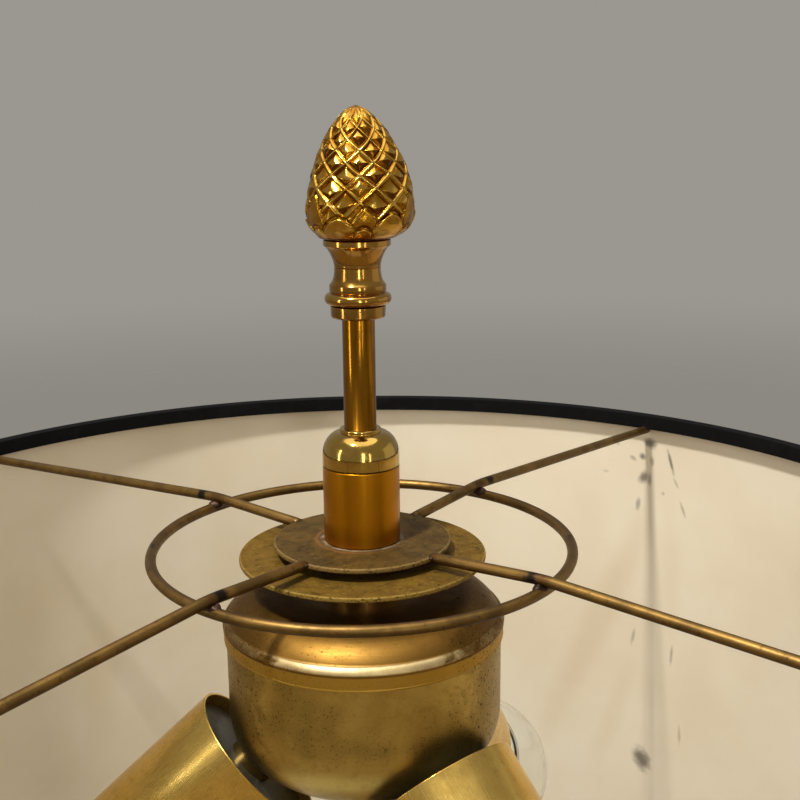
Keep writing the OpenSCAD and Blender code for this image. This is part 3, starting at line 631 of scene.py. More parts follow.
def soften(corners, steps=5):
    """Profile through corners (r, z, fillet): an arc of that radius, tangent to both sides, takes
    each corner's place, with one more point before and after it that keeps the flats flat."""
    path = np.array([c[:2] for c in corners], float)
    ahead, behind = np.roll(path, -1, 0), np.roll(path, 1, 0)
    out = []
    for here, last, following, (_, _, fillet) in zip(path, behind, ahead, corners):
        a, b = last - here, following - here
        long_a, long_b = np.hypot(*a), np.hypot(*b)
        if fillet <= 0 or long_a < 1e-9 or long_b < 1e-9:
            out.append(here)
            continue
        a, b = a / long_a, b / long_b
        half = math.acos(max(-1.0, min(1.0, float(a @ b)))) / 2
        run = min(fillet / math.tan(half), 0.45 * long_a, 0.45 * long_b)
        fillet = run * math.tan(half)
        middle = here + (a + b) / np.hypot(*(a + b)) * fillet / math.sin(half)
        guard = min(0.25 * run + 0.02 * MM, 0.04 * long_a, 0.04 * long_b)
        start, end = here + a * run - middle, here + b * run - middle
        sweep = math.pi - 2 * half
        out.append(here + a * (run + guard))
        for t in np.linspace(0, 1, steps + 1):
            out.append(middle + (start * math.sin((1 - t) * sweep) + end * math.sin(t * sweep))
                       / math.sin(sweep))
        out.append(here + b * (run + guard))
    return np.array(out)


def lathe(profile, around=128, solid=False):
    """Surface of revolution: profile point (r, z) goes to (r cos a, r sin a, z) at each angle a.
    A solid's profile starts and ends on the axis, where it closes in a pole; any other profile is
    a loop. Returns points, faces and corner UVs of round length and profile length."""
    profile = np.asarray(profile, float)
    r, z = profile.T
    if np.sum(r * np.roll(z, -1) - np.roll(r, -1) * z) < 0:
        profile = profile[::-1]
    along = np.concatenate([[0], np.cumsum(np.hypot(*np.diff(profile, axis=0).T))])
    wide = profile[:, 0].max() * TURN
    inner = profile[1:-1] if solid else profile
    lengths = along[1:-1] if solid else np.append(
        along, along[-1] + np.hypot(*(profile[0] - profile[-1])))
    angle = TURN * np.arange(around) / around
    points = np.stack([
        np.outer(inner[:, 0], np.cos(angle)), np.outer(inner[:, 0], np.sin(angle)),
        np.repeat(inner[:, 1:2], around, 1)], -1).reshape(-1, 3)
    rows = len(inner)
    i, j = np.meshgrid(np.arange(rows - 1 if solid else rows), np.arange(around), indexing="ij")
    i, j = i.ravel(), j.ravel()
    up, over = (i + 1) % rows, (j + 1) % around
    quads = np.stack([i * around + j, i * around + over, up * around + over, up * around + j], 1)
    u0, u1 = j / around * wide, (j + 1) / around * wide
    v0, v1 = lengths[i], lengths[i + 1]
    corners = np.stack([u0, v0, u1, v0, u1, v1, u0, v1], 1).reshape(-1, 2)
    faces = quads.tolist()
    if solid:
        count = len(points)
        j = np.arange(around)
        over = (j + 1) % around
        last = (rows - 1) * around
        points = np.vstack([points, [0, 0, profile[0, 1]], [0, 0, profile[-1, 1]]])
        foot = np.stack([np.full(around, count), over, j], 1)
        crown = np.stack([np.full(around, count + 1), last + j, last + over], 1)
        faces += foot.tolist() + crown.tolist()
        middle, side0, side1 = (j + 0.5) / around * wide, j / around * wide, (j + 1) / around * wide
        ends = [np.stack([middle, np.full(around, along[0]), side1, np.full(around, lengths[0]),
                          side0, np.full(around, lengths[0])], 1),
                np.stack([middle, np.full(around, along[-1]), side0, np.full(around, lengths[-1]),
                          side1, np.full(around, lengths[-1])], 1)]
        corners = np.vstack([corners] + [e.reshape(-1, 2) for e in ends])
    return points, faces, corners


def turned(name, profile, finish, body, stands_for=None, around=128, solid=False,
           carry=None):
    """A lathe piece, with carry to take its points from its own axis to their place."""
    points, faces, corners = lathe(profile, around, solid)
    if carry is not None:
        points = points @ carry[0].T + carry[1]
    return add_piece(name, points, faces, finish, body, stands_for or [name[:-5]], corners)


def tube(path, radius, sides=24):
    """Round bar along an open path: at each point a circle square to the path, with rounded ends
    whose circles shrink over the last radius. Returns points, faces and how far each point faces
    down, from 0 to 1."""
    path = np.asarray(path, float)
    tangent = np.gradient(path, axis=0)
    tangent /= np.linalg.norm(tangent, axis=1)[:, None]
    caps = np.cos(np.linspace(0, math.pi / 2, 6))[:-1]
    shrink = np.sin(np.arccos(caps))
    head = path[0] - tangent[0] * radius * caps[:, None]
    tail = path[-1] + tangent[-1] * radius * caps[::-1, None]
    line = np.vstack([head, path, tail])
    size = np.concatenate([shrink, np.ones(len(path)), shrink[::-1]]) * radius
    heading = np.vstack([np.repeat(tangent[:1], len(caps), 0), tangent,
                         np.repeat(tangent[-1:], len(caps), 0)])
    across = np.cross(heading, [0, 0, 1.0])
    across /= np.linalg.norm(across, axis=1)[:, None]
    upward = np.cross(across, heading)
    line, size, across, upward = line[1:-1], size[1:-1], across[1:-1], upward[1:-1]
    angle = TURN * np.arange(sides) / sides
    points = (line[:, None] + size[:, None, None] * (
        across[:, None] * np.cos(angle)[None, :, None]
        + upward[:, None] * np.sin(angle)[None, :, None])).reshape(-1, 3)
    rows = len(line)
    i, j = np.meshgrid(np.arange(rows - 1), np.arange(sides), indexing="ij")
    i, j = i.ravel(), j.ravel()
    over = (j + 1) % sides
    quads = np.stack([i * sides + j, (i + 1) * sides + j, (i + 1) * sides + over,
                      i * sides + over], 1)
    count = len(points)
    points = np.vstack([points, head[0], tail[-1]])
    j = np.arange(sides)
    over = (j + 1) % sides
    last = (rows - 1) * sides
    faces = quads.tolist()
    faces += np.stack([np.full(sides, count), j, over], 1).tolist()
    faces += np.stack([np.full(sides, count + 1), last + over, last + j], 1).tolist()
    down = np.append(np.tile(0.5 - 0.5 * np.sin(angle), rows), [0.5, 0.5])
    return points, faces, down


def ring_points(middle_r, middle_z, wire_r, around=160, sides=24):
    """Torus: circles of wire_r whose middles lie on a circle of middle_r at height middle_z."""
    a = np.linspace(0, TURN, sides, endpoint=False)
    return lathe(np.stack([middle_r + wire_r * np.cos(a), middle_z + wire_r * np.sin(a)], 1),
                 around)


def smooth_step(t):
    return 0.5 - 0.5 * np.cos(math.pi * np.clip(t, 0, 1))


# Finial

def fruit():
    """Pineapple on a grid of angle a and height t. Its radius is the CAD's outline less a relief.
    Two sets of ten spirals cross: a flat-topped ridge runs along each, and in each diamond between
    them stands a low pyramid, whose peak lies a little off the middle, by a number that differs
    from diamond to diamond. Round the foot lie six broad leaves, six taller ones behind them and a
    small bud before each of these. A leaf's edge falls from its tip as a power of the distance
    from its middle line."""
    foot, tip = low("pineapple_finial"), high("pineapple_finial")
    height, widest, belly = tip - foot, reach("pineapple_finial"), 9.4 * MM
    rows, cols = 250, 360
    t = 1 - (1 - np.cos(np.linspace(0, math.pi / 2, rows))) ** 0.9
    t = np.sort(t)
    t[0], t[-1] = 0, 1
    a = TURN * np.arange(cols) / cols
    t, a = np.meshgrid(t, a, indexing="ij")
    z = t * height
    below = np.clip((belly - z) / (belly * 1.25), 0, 1)
    above = np.clip((z - belly) / (height - belly), 0, 1)
    plain = widest * np.where(z < belly, np.sqrt(1 - below ** 2.6), (1 - above ** 1.6) ** 0.62)
    start = 0.287
    rise = 3.6 * (t - start) + 1.7 * (t * t - start * start)
    turn = 10 * a / TURN + 0.5
    wave = 0.035 * np.sin(6 * a + 9 * t) + 0.03 * np.sin(17 * t - 3 * a)
    one, two = turn + rise + wave, turn - rise + 0.04 * np.sin(5 * a - 11 * t)
    first, second = one - np.floor(one), two - np.floor(two)
    level, place = np.floor(one) - np.floor(two), (np.floor(one) + np.floor(two)) % 20

    def odd(seed):
        """A number from 0 to 1 for each diamond."""
        value = np.sin(12.9898 * level + 78.233 * place + seed) * 43758.5453
        return value - np.floor(value)

    peak_up, peak_side = 0.62 * odd(1) - 0.42, 0.4 * odd(2) - 0.2
    peak_one, peak_two = (1 + peak_side + peak_up) / 2, (1 + peak_side - peak_up) / 2
    slope_one = np.where(first < peak_one, first / peak_one, (1 - first) / (1 - peak_one))
    slope_two = np.where(second < peak_two, second / peak_two, (1 - second) / (1 - peak_two))
    edge = 0.06 + 0.10 * odd(4)
    pyramid = np.clip((np.minimum(slope_one, slope_two) - edge) / (0.60 + 0.2 * odd(5)), 0, 1)
    boss = (1 - (1 - pyramid) ** 1.5) * (0.78 + 0.24 * odd(3)) - 1
    near = np.minimum(1 - np.abs(2 * first - 1), 1 - np.abs(2 * second - 1))
    broad = 0.17 + 0.05 * np.sin(4 * a + 13 * t) + 0.035 * np.sin(9 * a - 7 * t)
    ridge = (0.88 + 0.12 * np.sin(7 * a + 16 * t)) * np.exp(-(near / broad) ** 4) - 1
    lattice = np.maximum(ridge, boss)
    # Painted shade: the lower faces of each diamond are darkened as if turned from the light, on top
    # of the lacquer in the low places
    lower = np.where(slope_one < slope_two, first < peak_one, second > peak_two)
    shade = np.clip(0.95 - 1.3 * (lattice + 1), 0, 1)
    shade = np.maximum(shade, (0.62 + 0.35 * odd(6)) * lower * np.clip((near - 0.2) / 0.05, 0, 1))
    shade = shade * (1 - 0.8 * smooth_step((t - 0.86) / 0.1)) + 0.3 * smooth_step((t - 0.93) / 0.04)

    def leaf(middle, top, width, sharp, blunt):
        """Height of a leaf and of the painted shadow line above its edge. Middle is in degrees from
        the front."""
        round_leaf = 6 * (a / TURN + 0.25 - middle / 360) + 0.5
        across = np.abs(2 * (round_leaf - np.floor(round_leaf)) - 1) / width
        edge = top * (1 - np.clip(across, 0, 1) ** sharp) ** blunt * (across < 1)
        inside = np.clip((edge - t) / 0.022, 0, 1)
        spoon = 0.30 * np.exp(-((edge - t) / 0.03) ** 2) + 0.25 * (1 - across ** 2) * (
            np.exp(-((t - 0.09) / 0.06) ** 2))
        shadow = np.clip(1 - np.abs(t - edge - 0.012) / 0.02, 0, 1) * (across < 1.05)
        return inside * (0.78 + spoon), shadow

    aside = np.abs(np.cos(a))
    bud, bud_painted_shadow = leaf(4, 0.11, 0.42, 2.2, 0.6)
    front, front_painted_shadow = leaf(-25, 0.20 + 0.03 * np.cos(a), 0.90, 1.7, 0.8)
    back, back_painted_shadow = leaf(4, 0.25 + 0.13 * aside, 0.80, 1.3, 1.0)
    leaves = np.where(bud > 0.05, bud, np.where(front > 0.05, front, back * 0.9))
    relief = np.where(leaves > 0.02, np.maximum(lattice - 0.35, leaves - 0.88), lattice - 0.1)
    # Painted highlight: each leaf is lighter gold towards its middle and its raised edge
    shade = np.where(leaves > 0.3, 0.40 - 1.3 * np.clip(leaves - 0.8, 0, 0.3), shade)
    # Painted shadow: a dark line just above each leaf's edge
    line = np.maximum(back_painted_shadow, 0) * (front < 0.05)
    line = np.maximum(np.maximum(front_painted_shadow, line) * (bud < 0.05), bud_painted_shadow)
    shade = np.maximum(shade, line)
    relief = np.clip(relief, -1.1, 0.22)
    taper = np.clip(plain * 3 / (2 * widest), 0, 1) * (0.3 + 0.7 * smooth_step(t / 0.05))
    r = plain + relief * 1.2 * MM * taper
    r[0] = plain[0] - 0.5 * MM
    r[-1] = 0
    shade[t < 0.02] = 0.9

    # The casting sits a little to one side, most at its widest
    lean = 0.75 * MM * np.sin(math.pi * np.clip(t * 1.05, 0, 1)) ** 1.2
    lean += (0.75 - 0.4 * t) * MM * np.clip(t / 0.04, 0, 1)
    points = np.stack([r * np.cos(a) + lean, r * np.sin(a), foot + z], -1)[:-1].reshape(-1, 3)
    i, j = np.meshgrid(np.arange(rows - 2), np.arange(cols), indexing="ij")
    i, j = i.ravel(), j.ravel()
    over = (j + 1) % cols
    faces = np.stack([i * cols + j, i * cols + over, (i + 1) * cols + over,
                      (i + 1) * cols + j], 1).tolist()
    count = len(points)
    j = np.arange(cols)
    over = (j + 1) % cols
    last = (rows - 2) * cols
    faces += np.stack([np.full(cols, count), last + j, last + over], 1).tolist()
    faces += np.stack([np.full(cols, count + 1), over, j], 1).tolist()
    points = np.vstack([points, [lean[-1, 0], 0, tip], [0, 0, foot]])
    shade = np.append(shade[:-1].ravel(), [0.1, 0.9])
    add_piece("pineapple_gilt", points, faces, "fruit", "finial",
              ["pineapple_finial"], depth=shade)


def neck():
    """Neck and cup: straight collar, round bead, an upright wall with a sloping shoulder that
    eases in to the waist, and a cup that flares as a power curve out to the flange."""
    foot, waist = low("neck_base"), high("neck_base")
    top = high("neck_cup")
    collar, bead, swell, thin = 8.3 * MM, reach("neck_base"), 8.65 * MM, 7.05 * MM
    bore = 4.7 * MM
    collar_top, bead_top = foot + 4 * MM, foot + 7.6 * MM
    bulge = (bead_top - collar_top) / 2
    a = np.radians(np.linspace(-90, 90, 15))
    core = bead - bulge
    t = np.linspace(0, 1, 20)
    round_r, last_b, slope = 0.8 * MM, math.radians(36), 1.1 * MM
    wall_top = foot + 9.6 * MM
    edge_r = swell - round_r * (1 - math.cos(last_b)) - slope * math.tan(last_b)
    shoulder = wall_top + round_r * math.sin(last_b) + slope
    upper = np.stack([thin + (edge_r - thin) * (1 - t) ** 2.6,
                      shoulder + (waist - shoulder) * t], 1)
    low_part = soften([
        (bore, foot, 0), (collar - 0.35 * MM, foot, 0), (collar, foot + 0.5 * MM, 0.3 * MM),
        (collar + 0.15 * MM, collar_top - 0.5 * MM, 0.25 * MM),
        (collar - 0.5 * MM, collar_top - 0.1 * MM, 0.15 * MM)])
    low_part[0] = (bore, foot)
    bead_part = np.stack([core + bulge * np.cos(a),
                          collar_top + bulge + bulge * np.sin(a)], 1)
    b = np.linspace(0, last_b, 8)
    seat = np.vstack([
        [[swell - 0.45 * MM, bead_top + 0.02 * MM], [swell - 0.15 * MM, bead_top + 0.25 * MM],
         [swell - 0.02 * MM, bead_top + 0.6 * MM]],
        np.stack([swell - round_r * (1 - np.cos(b)), wall_top + round_r * np.sin(b)], 1)])
    end = np.array([[thin, waist - 0.12 * MM], [thin - 0.12 * MM, waist], [bore, waist]])
    profile = np.vstack([low_part, bead_part, seat, upper[:-1], end])
    turned("neck_base_turned", profile, "neck", "finial", ["neck_base"])
    flange, flange_low = reach("neck_cup"), top - 2.6 * MM
    t = np.linspace(0, 1, 16)[1:]
    flare = np.stack([thin + (flange - 0.8 * MM - thin) * t ** 1.8,
                      waist + (flange_low - waist) * t], 1)
    start = np.array([[0, waist], [thin - 0.12 * MM, waist], [thin, waist + 0.12 * MM]])
    lip = soften([
        tuple(flare[-1]) + (0,), (flange - 0.45 * MM, flange_low + 0.15 * MM, 0.1 * MM),
        (flange, flange_low + 0.6 * MM, 0.25 * MM), (flange, top - 0.5 * MM, 0.25 * MM),
        (flange - 0.5 * MM, top, 0.3 * MM), (0, top, 0)])[1:]
    lip[-1] = (0, top)
    turned("neck_cup_turned", np.vstack([start, flare, lip]), "neck", "finial",
           ["neck_cup"], solid=True)


def rod():
    """Rod with a wider foot, both with rounded edges."""
    foot, top = low("finial_rod"), high("finial_rod")
    r, shoulder = 5 * MM, reach("finial_rod")
    profile = soften([
        (0, foot, 0), (shoulder, foot, 0.3 * MM), (shoulder, foot + 3 * MM, 0.3 * MM),
        (r, foot + 3 * MM, 0), (r, top, 0.3 * MM), (0, top, 0)])
    turned("finial_rod_lacquered", profile, "rod", "finial", ["finial_rod"], 96, True)


def dome():
    """Cap: a spigot, a straight band with an eased lower edge, a quarter of an ellipse and a
    small lip round the rod."""
    foot, top, r = low("dome_cap"), high("dome_cap"), reach("dome_cap")
    seam = foot + 4 * MM
    bore, spigot, lip = 5.05 * MM, r - 1.58 * MM, 6.4 * MM
    lip_top, dome_low = top, seam + 3.3 * MM
    dome_top = top - 1.1 * MM
    a = np.radians(np.linspace(0, 88, 22))
    cap = np.stack([lip + (r - lip) * np.cos(a), dome_low + (dome_top - dome_low) * np.sin(a)], 1)
    lower = soften([
        (bore, foot, 0), (spigot, foot, 0.2 * MM), (spigot, seam, 0), (r, seam, 0.35 * MM),
        (r, dome_low, 0)])
    rim = soften([
        tuple(cap[-1]) + (0,), (lip, dome_top, 0.1 * MM), (lip, lip_top, 0.35 * MM),
        (bore, lip_top, 0.1 * MM), (bore, foot, 0)])[1:-1]
    turned("dome_cap_mirror", np.vstack([lower[:-1], cap[:-1], rim]), "dome", "finial",
           ["dome_cap"], 160)


def band_piece(name, node, inner, fillet, finish, body, around=160, top_fillet=None):
    """A plain ring, disc or sleeve: four corners, with rounded outer edges."""
    foot, top, r = low(node), high(node), reach(node)
    upper = fillet if top_fillet is None else top_fillet
    profile = soften([
        (inner, foot, 0.05 * MM), (r, foot, fillet), (r, top, upper), (inner, top, 0.05 * MM)])
    return turned(name, profile, finish, body, [node], around)


fruit()
neck()
rod()
dome()
band_piece("clamp_sleeve_satin", "clamp_sleeve", 10.5 * MM, 0.25 * MM, "clamp", "clamp",
           160, 0.3 * MM)
band_piece("spider_plate_oxidised", "spider_plate", 5.3 * MM, 0.55 * MM, "plate", "shade")
band_piece("support_disc_oxidised", "support_disc", 5.1 * MM, 0.45 * MM, "disc", "stand",
           192)


# Spider

def spider():
    """Arms: straight wires from the plate's rim to the crossing over the ring and on to the
    shade's rim, with a short smooth bend where they cross. Filler sits round each crossing."""
    plate_r, ring_r = reach("spider_plate"), 66 * MM
    wire_r = 1.7 * MM
    ring_z = (low("spider_ring") + high("spider_ring")) / 2
    ring_wire = high("spider_ring") - ring_z
    tip_r = reach("top_hoop") - 1.6 * MM + 0.6 * MM
    root = np.array([plate_r + 0.2 * MM, PLATE_TOP - 0.75 * MM])
    crossing = np.array([ring_r, PLATE_TOP + 1.1 * MM])
    tip = np.array([tip_r, PLATE_TOP - 7.4 * MM])
    t = np.linspace(0, 1, 14)[:, None]
    bend = 5 * MM
    a = crossing + (root - crossing) * bend / np.linalg.norm(root - crossing)
    b = crossing + (tip - crossing) * bend / np.linalg.norm(tip - crossing)
    curve = a * (1 - t) ** 2 + 2 * t * (1 - t) * crossing + b * t * t
    first = root + (a - root) * np.array([[0.0], [0.3], [0.6], [0.9]])
    rest = b + (tip - b) * np.linspace(0.04, 1, 12)[:, None]
    line = np.vstack([first, curve, rest])
    for k in range(4):
        turn = math.radians(ARM_AZ + 90 * k)
        path = np.stack([line[:, 0] * math.cos(turn), line[:, 0] * math.sin(turn), line[:, 1]], 1)
        # How far each point faces down drives the painted shade on the wire's underside
        points, faces, down = tube(path, wire_r)
        add_piece("spider_wire_%d" % (k + 1), points, faces, "wire", "shade",
                  ["spider_arm_%d" % (k + 1)], depth=down)
    points, faces, corners = ring_points(ring_r, ring_z, ring_wire)
    # How far each point faces down drives the painted shade on the ring's underside
    down = np.clip(0.5 - 0.5 * (points[:, 2] - ring_z) / ring_wire, 0, 1)
    add_piece("spider_hoop", points, faces, "wire", "shade", ["spider_ring"], corners,
              down)

    # Filler: a saddle along the ring at each crossing and a low weld at each root, squashed balls
    # whose radius swells and dips round them
    points, faces = [], []
    saddle = (2.15, 3.5, 1.7, ring_r - 0.5 * MM, ring_z + 1.1 * MM)
    weld = (1.3, 2.3, 0.75, plate_r - 0.3 * MM, PLATE_TOP - 0.4 * MM)
    rows, cols = 14, 24
    tall, round_a = np.meshgrid(np.linspace(0, math.pi, rows)[1:-1],
                                TURN * np.arange(cols) / cols, indexing="ij")
    for k, (long, wide, thick, out, up) in enumerate(4 * [saddle] + 4 * [weld]):
        lump = 1 + 0.12 * np.sin(3 * round_a + 2 * k) * np.sin(2 * tall + 2 * k)
        ball = np.stack([long * np.sin(tall) * np.cos(round_a) * lump,
                         wide * np.sin(tall) * np.sin(round_a) * lump,
                         thick * np.cos(tall) * lump], -1).reshape(-1, 3) * MM
        ball = np.vstack([ball, [0, 0, thick * MM], [0, 0, -thick * MM]])
        turn = math.radians(ARM_AZ + 90 * k)
        spin = np.array([[math.cos(turn), -math.sin(turn), 0],
                         [math.sin(turn), math.cos(turn), 0], [0, 0, 1]])
        middle = np.array([out, 0, up])
        base = sum(len(p) for p in points)
        points.append((ball + middle) @ spin.T)
        i, j = np.meshgrid(np.arange(rows - 3), np.arange(cols), indexing="ij")
        i, j = i.ravel(), j.ravel()
        over = (j + 1) % cols
        faces += (base + np.stack([i * cols + j, (i + 1) * cols + j, (i + 1) * cols + over,
                                   i * cols + over], 1)).tolist()
        j = np.arange(cols)
        over = (j + 1) % cols
        count, last = (rows - 2) * cols, (rows - 3) * cols
        faces += (base + np.stack([np.full(cols, count), j, over], 1)).tolist()
        faces += (base + np.stack([np.full(cols, count + 1), last + over, last + j], 1)).tolist()
    add_piece("spider_filler", np.vstack(points), faces, "braze", "shade",
              ["spider_brazing"])


spider()


# Canister and lid

def lid():
    """Lid: a skirt with a turned lip, a rolled bead that is a quarter of a flattened ellipse, and
    a shoulder that is part of a larger ellipse up to the flat top."""
    foot, top, r = low("canister_lid"), high("canister_lid"), reach("canister_lid") - 0.4 * MM
    wall, flat, bead, inset = 0.6 * MM, 30 * MM, 1.2 * MM, 1.3 * MM
    bead_z = foot + 5 * MM + bead
    rise = top - bead_z - bead
    start = math.radians(27)
    long_r = (r - inset - flat) / math.cos(start)
    tall = rise / (1 - math.sin(start))
    a = np.radians(np.linspace(0, 88, 15))
    roll = np.stack([r - inset + (inset + 0.4 * MM) * np.cos(a) ** 1.35,
                     bead_z - 0.75 * bead + 1.75 * bead * np.sin(a) ** 1.35], 1)
    b = np.linspace(start, math.pi / 2, 26)

    def shoulder(inside):
        return np.stack([flat + (long_r - inside) * np.cos(b),
                         top - tall + (tall - inside) * np.sin(b)], 1)

    lip = soften([(r - wall, foot, 0.1 * MM), (r - 0.02 * MM, foot, 0.2 * MM),
                  (r + 0.12 * MM, foot + 0.35 * MM, 0.1 * MM), (r, foot + 0.75 * MM, 0.1 * MM),
                  (r, bead_z - bead, 0)])
    outer = np.vstack([lip[:-1], roll, shoulder(0)[:-1], [[flat * 0.8, top], [5.1 * MM, top]]])
    inner = np.vstack([[[5.1 * MM, top - wall]], shoulder(wall)[::-1],
                       [[r - wall, bead_z + bead * 0.6], [r - wall, bead_z - bead]]])
    turned("canister_lid_satin", np.vstack([outer, inner]), "lid", "stand",
           ["canister_lid"], 192)


def body():
    """Canister: a floor, a quarter round of 19 mm and an upright wall."""
    foot, top, r = low("canister_body"), high("canister_body"), reach("canister_body")
    wall, corner = 0.8 * MM, 19 * MM
    a = np.radians(np.linspace(-90, 0, 24))

    def skin(inside):
        return np.vstack([
            [[5.1 * MM, foot + inside], [(r - corner) * 0.6, foot + inside]],
            np.stack([r - corner + (corner - inside) * np.cos(a),
                      foot + corner + (corner - inside) * np.sin(a)], 1),
            [[r - inside, foot + corner + 4 * MM], [r - inside, top - 1 * MM], [r - inside, top]]])

    turned("canister_body_satin", np.vstack([skin(0), skin(wall)[::-1]]), "body", "stand",
           ["canister_body"], 192)


def at_socket(k):
    """Turn and move from a socket's own axis to its place: Z then runs down and out."""
    turn = Matrix.Rotation(math.radians(SLEEVE_AZ + 120 * (k - 1)), 3, "Z")
    tilt = Matrix.Rotation(math.radians(90 + SLEEVE_TILT), 3, "Y")
    return np.array(turn @ tilt), np.array([0, 0, MEET_Z])


def sleeves():
    """Three sleeves: plain tubes whose rims are rounded over the sheet's thickness."""
    rim, mouth, r, wall = 47 * MM, 122 * MM, 25.5 * MM, 0.8 * MM
    for k in (1, 2, 3):
        profile = soften([
            (r - wall, rim, 0.3 * MM), (r, rim, 0.3 * MM), (r, mouth, 0.3 * MM),
            (r - wall, mouth, 0.3 * MM)], 4)
        turned("lamp_sleeve_%d_brushed" % k, profile, "sleeve", "stand",
               ["lamp_sleeve_%d" % k], 160, carry=at_socket(k))


def bulbs():
    """Bulb glass: neck, a curl tangent to neck and globe, and the globe, with an inner wall."""
    neck_r, globe_r, curl, thick = 14.5 * MM, 32.5 * MM, 40 * MM, 0.6 * MM
    globe, start = 168 * MM, 107.5 * MM
    curl_z = globe - math.sqrt((globe_r + curl) ** 2 - (neck_r + curl) ** 2)
    bend = math.asin((globe - curl_z) / (globe_r + curl))
    a = np.linspace(0, bend, 18)
    b = np.linspace(bend - math.pi / 2, math.pi / 2, 44)[1:-1]

    def skin(inside):
        return np.vstack([
            [[neck_r - inside, start]],
            np.stack([neck_r + curl - (curl + inside) * np.cos(a),
                      curl_z + (curl + inside) * np.sin(a)], 1),
            np.stack([(globe_r - inside) * np.cos(b), globe + (globe_r - inside) * np.sin(b)], 1),
            [[0, globe + globe_r - inside]]])

    outer, inner = skin(0), skin(thick)
    for k in (1, 2, 3):
        profile = np.vstack([inner[::-1], outer])
        turned("bulb_globe_%d" % k, profile, "glass", "bulb_%d" % k,
               ["bulb_glass_%d" % k], 112, True, at_socket(k))


lid()
body()
sleeves()
bulbs()


# Shade

def wall_r(z):
    """Outer radius of the fabric at height z: the CAD's cone."""
    top, foot = high("shade_cover"), low("shade_cover")
    return 204 * MM + 27 * MM * (top - z) / (top - foot)


def cone(inner, outer, around=320, rows=24):
    """Closed wall of a cone between two insets from the fabric's outer face."""
    top, foot = high("shade_cover"), low("shade_cover")
    z = np.linspace(foot, top, rows)
    r = wall_r(z)
    outside = np.stack([r - inner, z], 1)
    inside = np.stack([r - outer, z], 1)[::-1]
    points, faces, corners = lathe(np.vstack([outside, inside]), around)
    # The map is unrolled round length and true height
    loops = np.array(faces)
    around_a = np.tile(np.arange(around), len(faces) // around)
    u = np.stack([around_a, around_a + 1, around_a + 1, around_a], 1) / around * LINER_R * MM * TURN
    v = points[loops, 2]
    corners = np.stack([u, v], -1).reshape(-1, 2)
    return points, faces, corners


def tape(name, node, up, finish="tape"):
    """Tape folded over an edge: an outer leg of 10 mm on the fabric, the fold and an inner leg."""
    edge = high("shade_cover") if up > 0 else low("shade_cover")
    out_r = wall_r(edge) + 0.05 * MM
    far_r = wall_r(edge - up * 10 * MM) + 0.05 * MM
    hoop = "top_hoop" if up > 0 else "bottom_hoop"
    in_r = reach(hoop) - 3.2 * MM - 0.1 * MM
    thick, leg = 0.4 * MM, 5.5 * MM
    fold = edge + up * 0.1 * MM
    profile = soften([
        (out_r, fold, 0), (far_r, edge - up * 10 * MM, 0.05 * MM),
        (far_r + thick, edge - up * 10 * MM, 0.12 * MM), (out_r + thick, fold + up * thick, 0.38 * MM),
        (in_r - thick, fold + up * thick, 0.38 * MM), (in_r - thick, edge - up * leg, 0.15 * MM),
        (in_r, edge - up * leg, 0.05 * MM), (in_r, fold, 0)])
    return turned(name, profile, finish, "shade", [node], 256)


points, faces, corners = cone(0, 0.5 * MM)
cover = add_piece("shade_cloth", points, faces, "cloth", "shade",
                  ["shade_cover"], corners)
points, faces, corners = cone(0.55 * MM, 0.95 * MM)
liner = add_piece("shade_paper", points, faces, "liner", "shade",
                  ["shade_liner"], corners)
top_tape = tape("top_tape_folded", "top_tape", 1)
bottom_tape = tape("bottom_tape_folded", "bottom_tape", -1)


# Studio

def area_light(name, place, aim, size, power, shape="RECTANGLE"):
    data = bpy.data.lights.new(name, "AREA")
    data.shape = shape
    data.size, data.size_y = size
    data.energy = power
    lamp = bpy.data.objects.new(name, data)
    lamp.matrix_world = Matrix.Translation(place) @ (
        Vector(aim) - Vector(place)).to_track_quat("-Z", "Y").to_matrix().to_4x4()
    lamp.visible_camera = False
    bpy.context.scene.collection.objects.link(lamp)


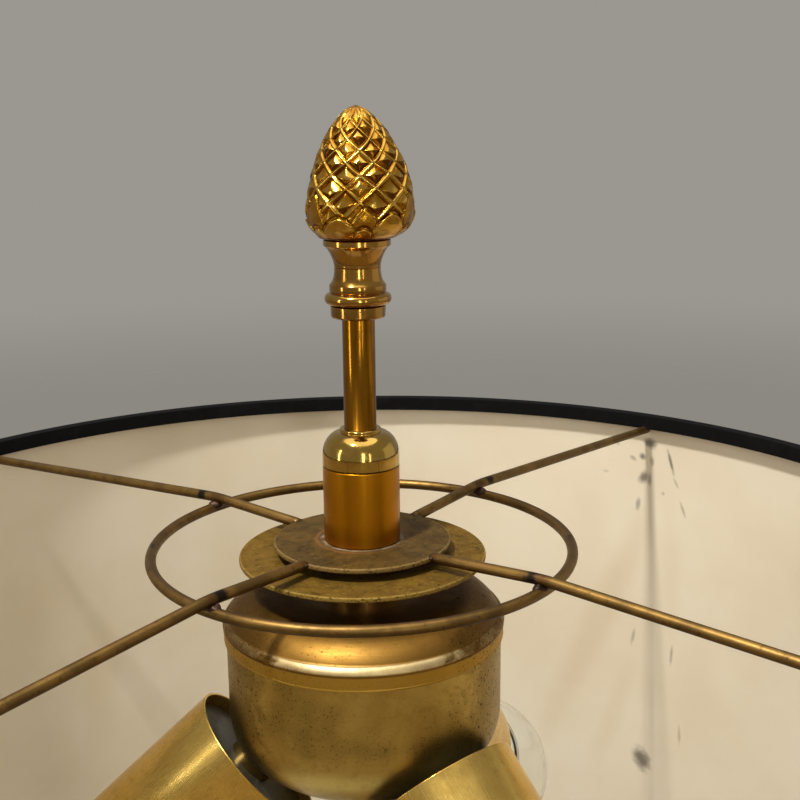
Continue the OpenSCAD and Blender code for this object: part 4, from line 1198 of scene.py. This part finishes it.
def studio():
    """A pale floor that fades out into a pale world, a soft key light high at the front left, a
    wide soft ceiling, and upright lights that draw highlights on the turned brass."""
    a = TURN * np.arange(96) / 96
    rings = np.array([0, 0.4, 1.2, 3.0, 7.0])
    points = np.vstack([[0, 0, 0]] + [np.stack([r * np.cos(a), r * np.sin(a), 0 * a], 1)
                                      for r in rings[1:]])
    j = np.arange(96)
    over = (j + 1) % 96
    faces = np.stack([np.zeros(96, int), 1 + j, 1 + over], 1).tolist()
    for i in range(3):
        faces += np.stack([1 + 96 * i + j, 97 + 96 * i + j, 97 + 96 * i + over,
                           1 + 96 * i + over], 1).tolist()
    mesh = bpy.data.meshes.new("floor")
    mesh.from_pydata(points.tolist(), [], faces)
    floor = bpy.data.objects.new("floor", mesh)
    bpy.context.scene.collection.objects.link(floor)
    f = Finish("floor")
    x, y, z = f.axes(f.place())
    far = ((x * x + y * y) ** 0.5).ease(1.2, 5.0)
    ground = f.node("ShaderNodeBsdfPrincipled", values={
        "Base Color": (0.43, 0.42, 0.395, 1), "Roughness": 0.9})
    clear = f.node("ShaderNodeBsdfTransparent")
    both = f.node("ShaderNodeMixShader", values=(far, ground, clear))
    f.node("ShaderNodeOutputMaterial", values=(both,))
    mesh.materials.append(f.material)

    world = bpy.data.worlds.new("studio")
    world.use_nodes = True
    tree = world.node_tree
    tree.nodes["Background"].inputs["Color"].default_value = (0.325, 0.312, 0.282, 1)
    tree.nodes["Background"].inputs["Strength"].default_value = 1
    bpy.context.scene.world = world
    area_light("key", (-0.505, -0.58, 2.03), (0, 0, 0.55), (0.12, 0.12), 30)
    area_light("ceiling", (0.0, 0.0, 2.5), (0.0, 0.0, 0.5), (2.4, 2.4), 23, "DISK")
    for name, azimuth, distance, size, power in (
            ("left", 202, 1.6, (0.12, 1.2), 4.5), ("front", 277, 1.65, (0.13, 1.1), 6.0),
            ("front_right", 297, 1.6, (0.06, 0.9), 1.2), ("right", 8, 1.8, (1.5, 1.3), 1.8)):
        turn = math.radians(azimuth)
        area_light(name, (distance * math.cos(turn), distance * math.sin(turn), 0.78),
                   (0, 0, 0.6), size, power)


studio()
bpy.context.scene.view_settings.view_transform = "Standard"

bpy.context.view_layer.update()
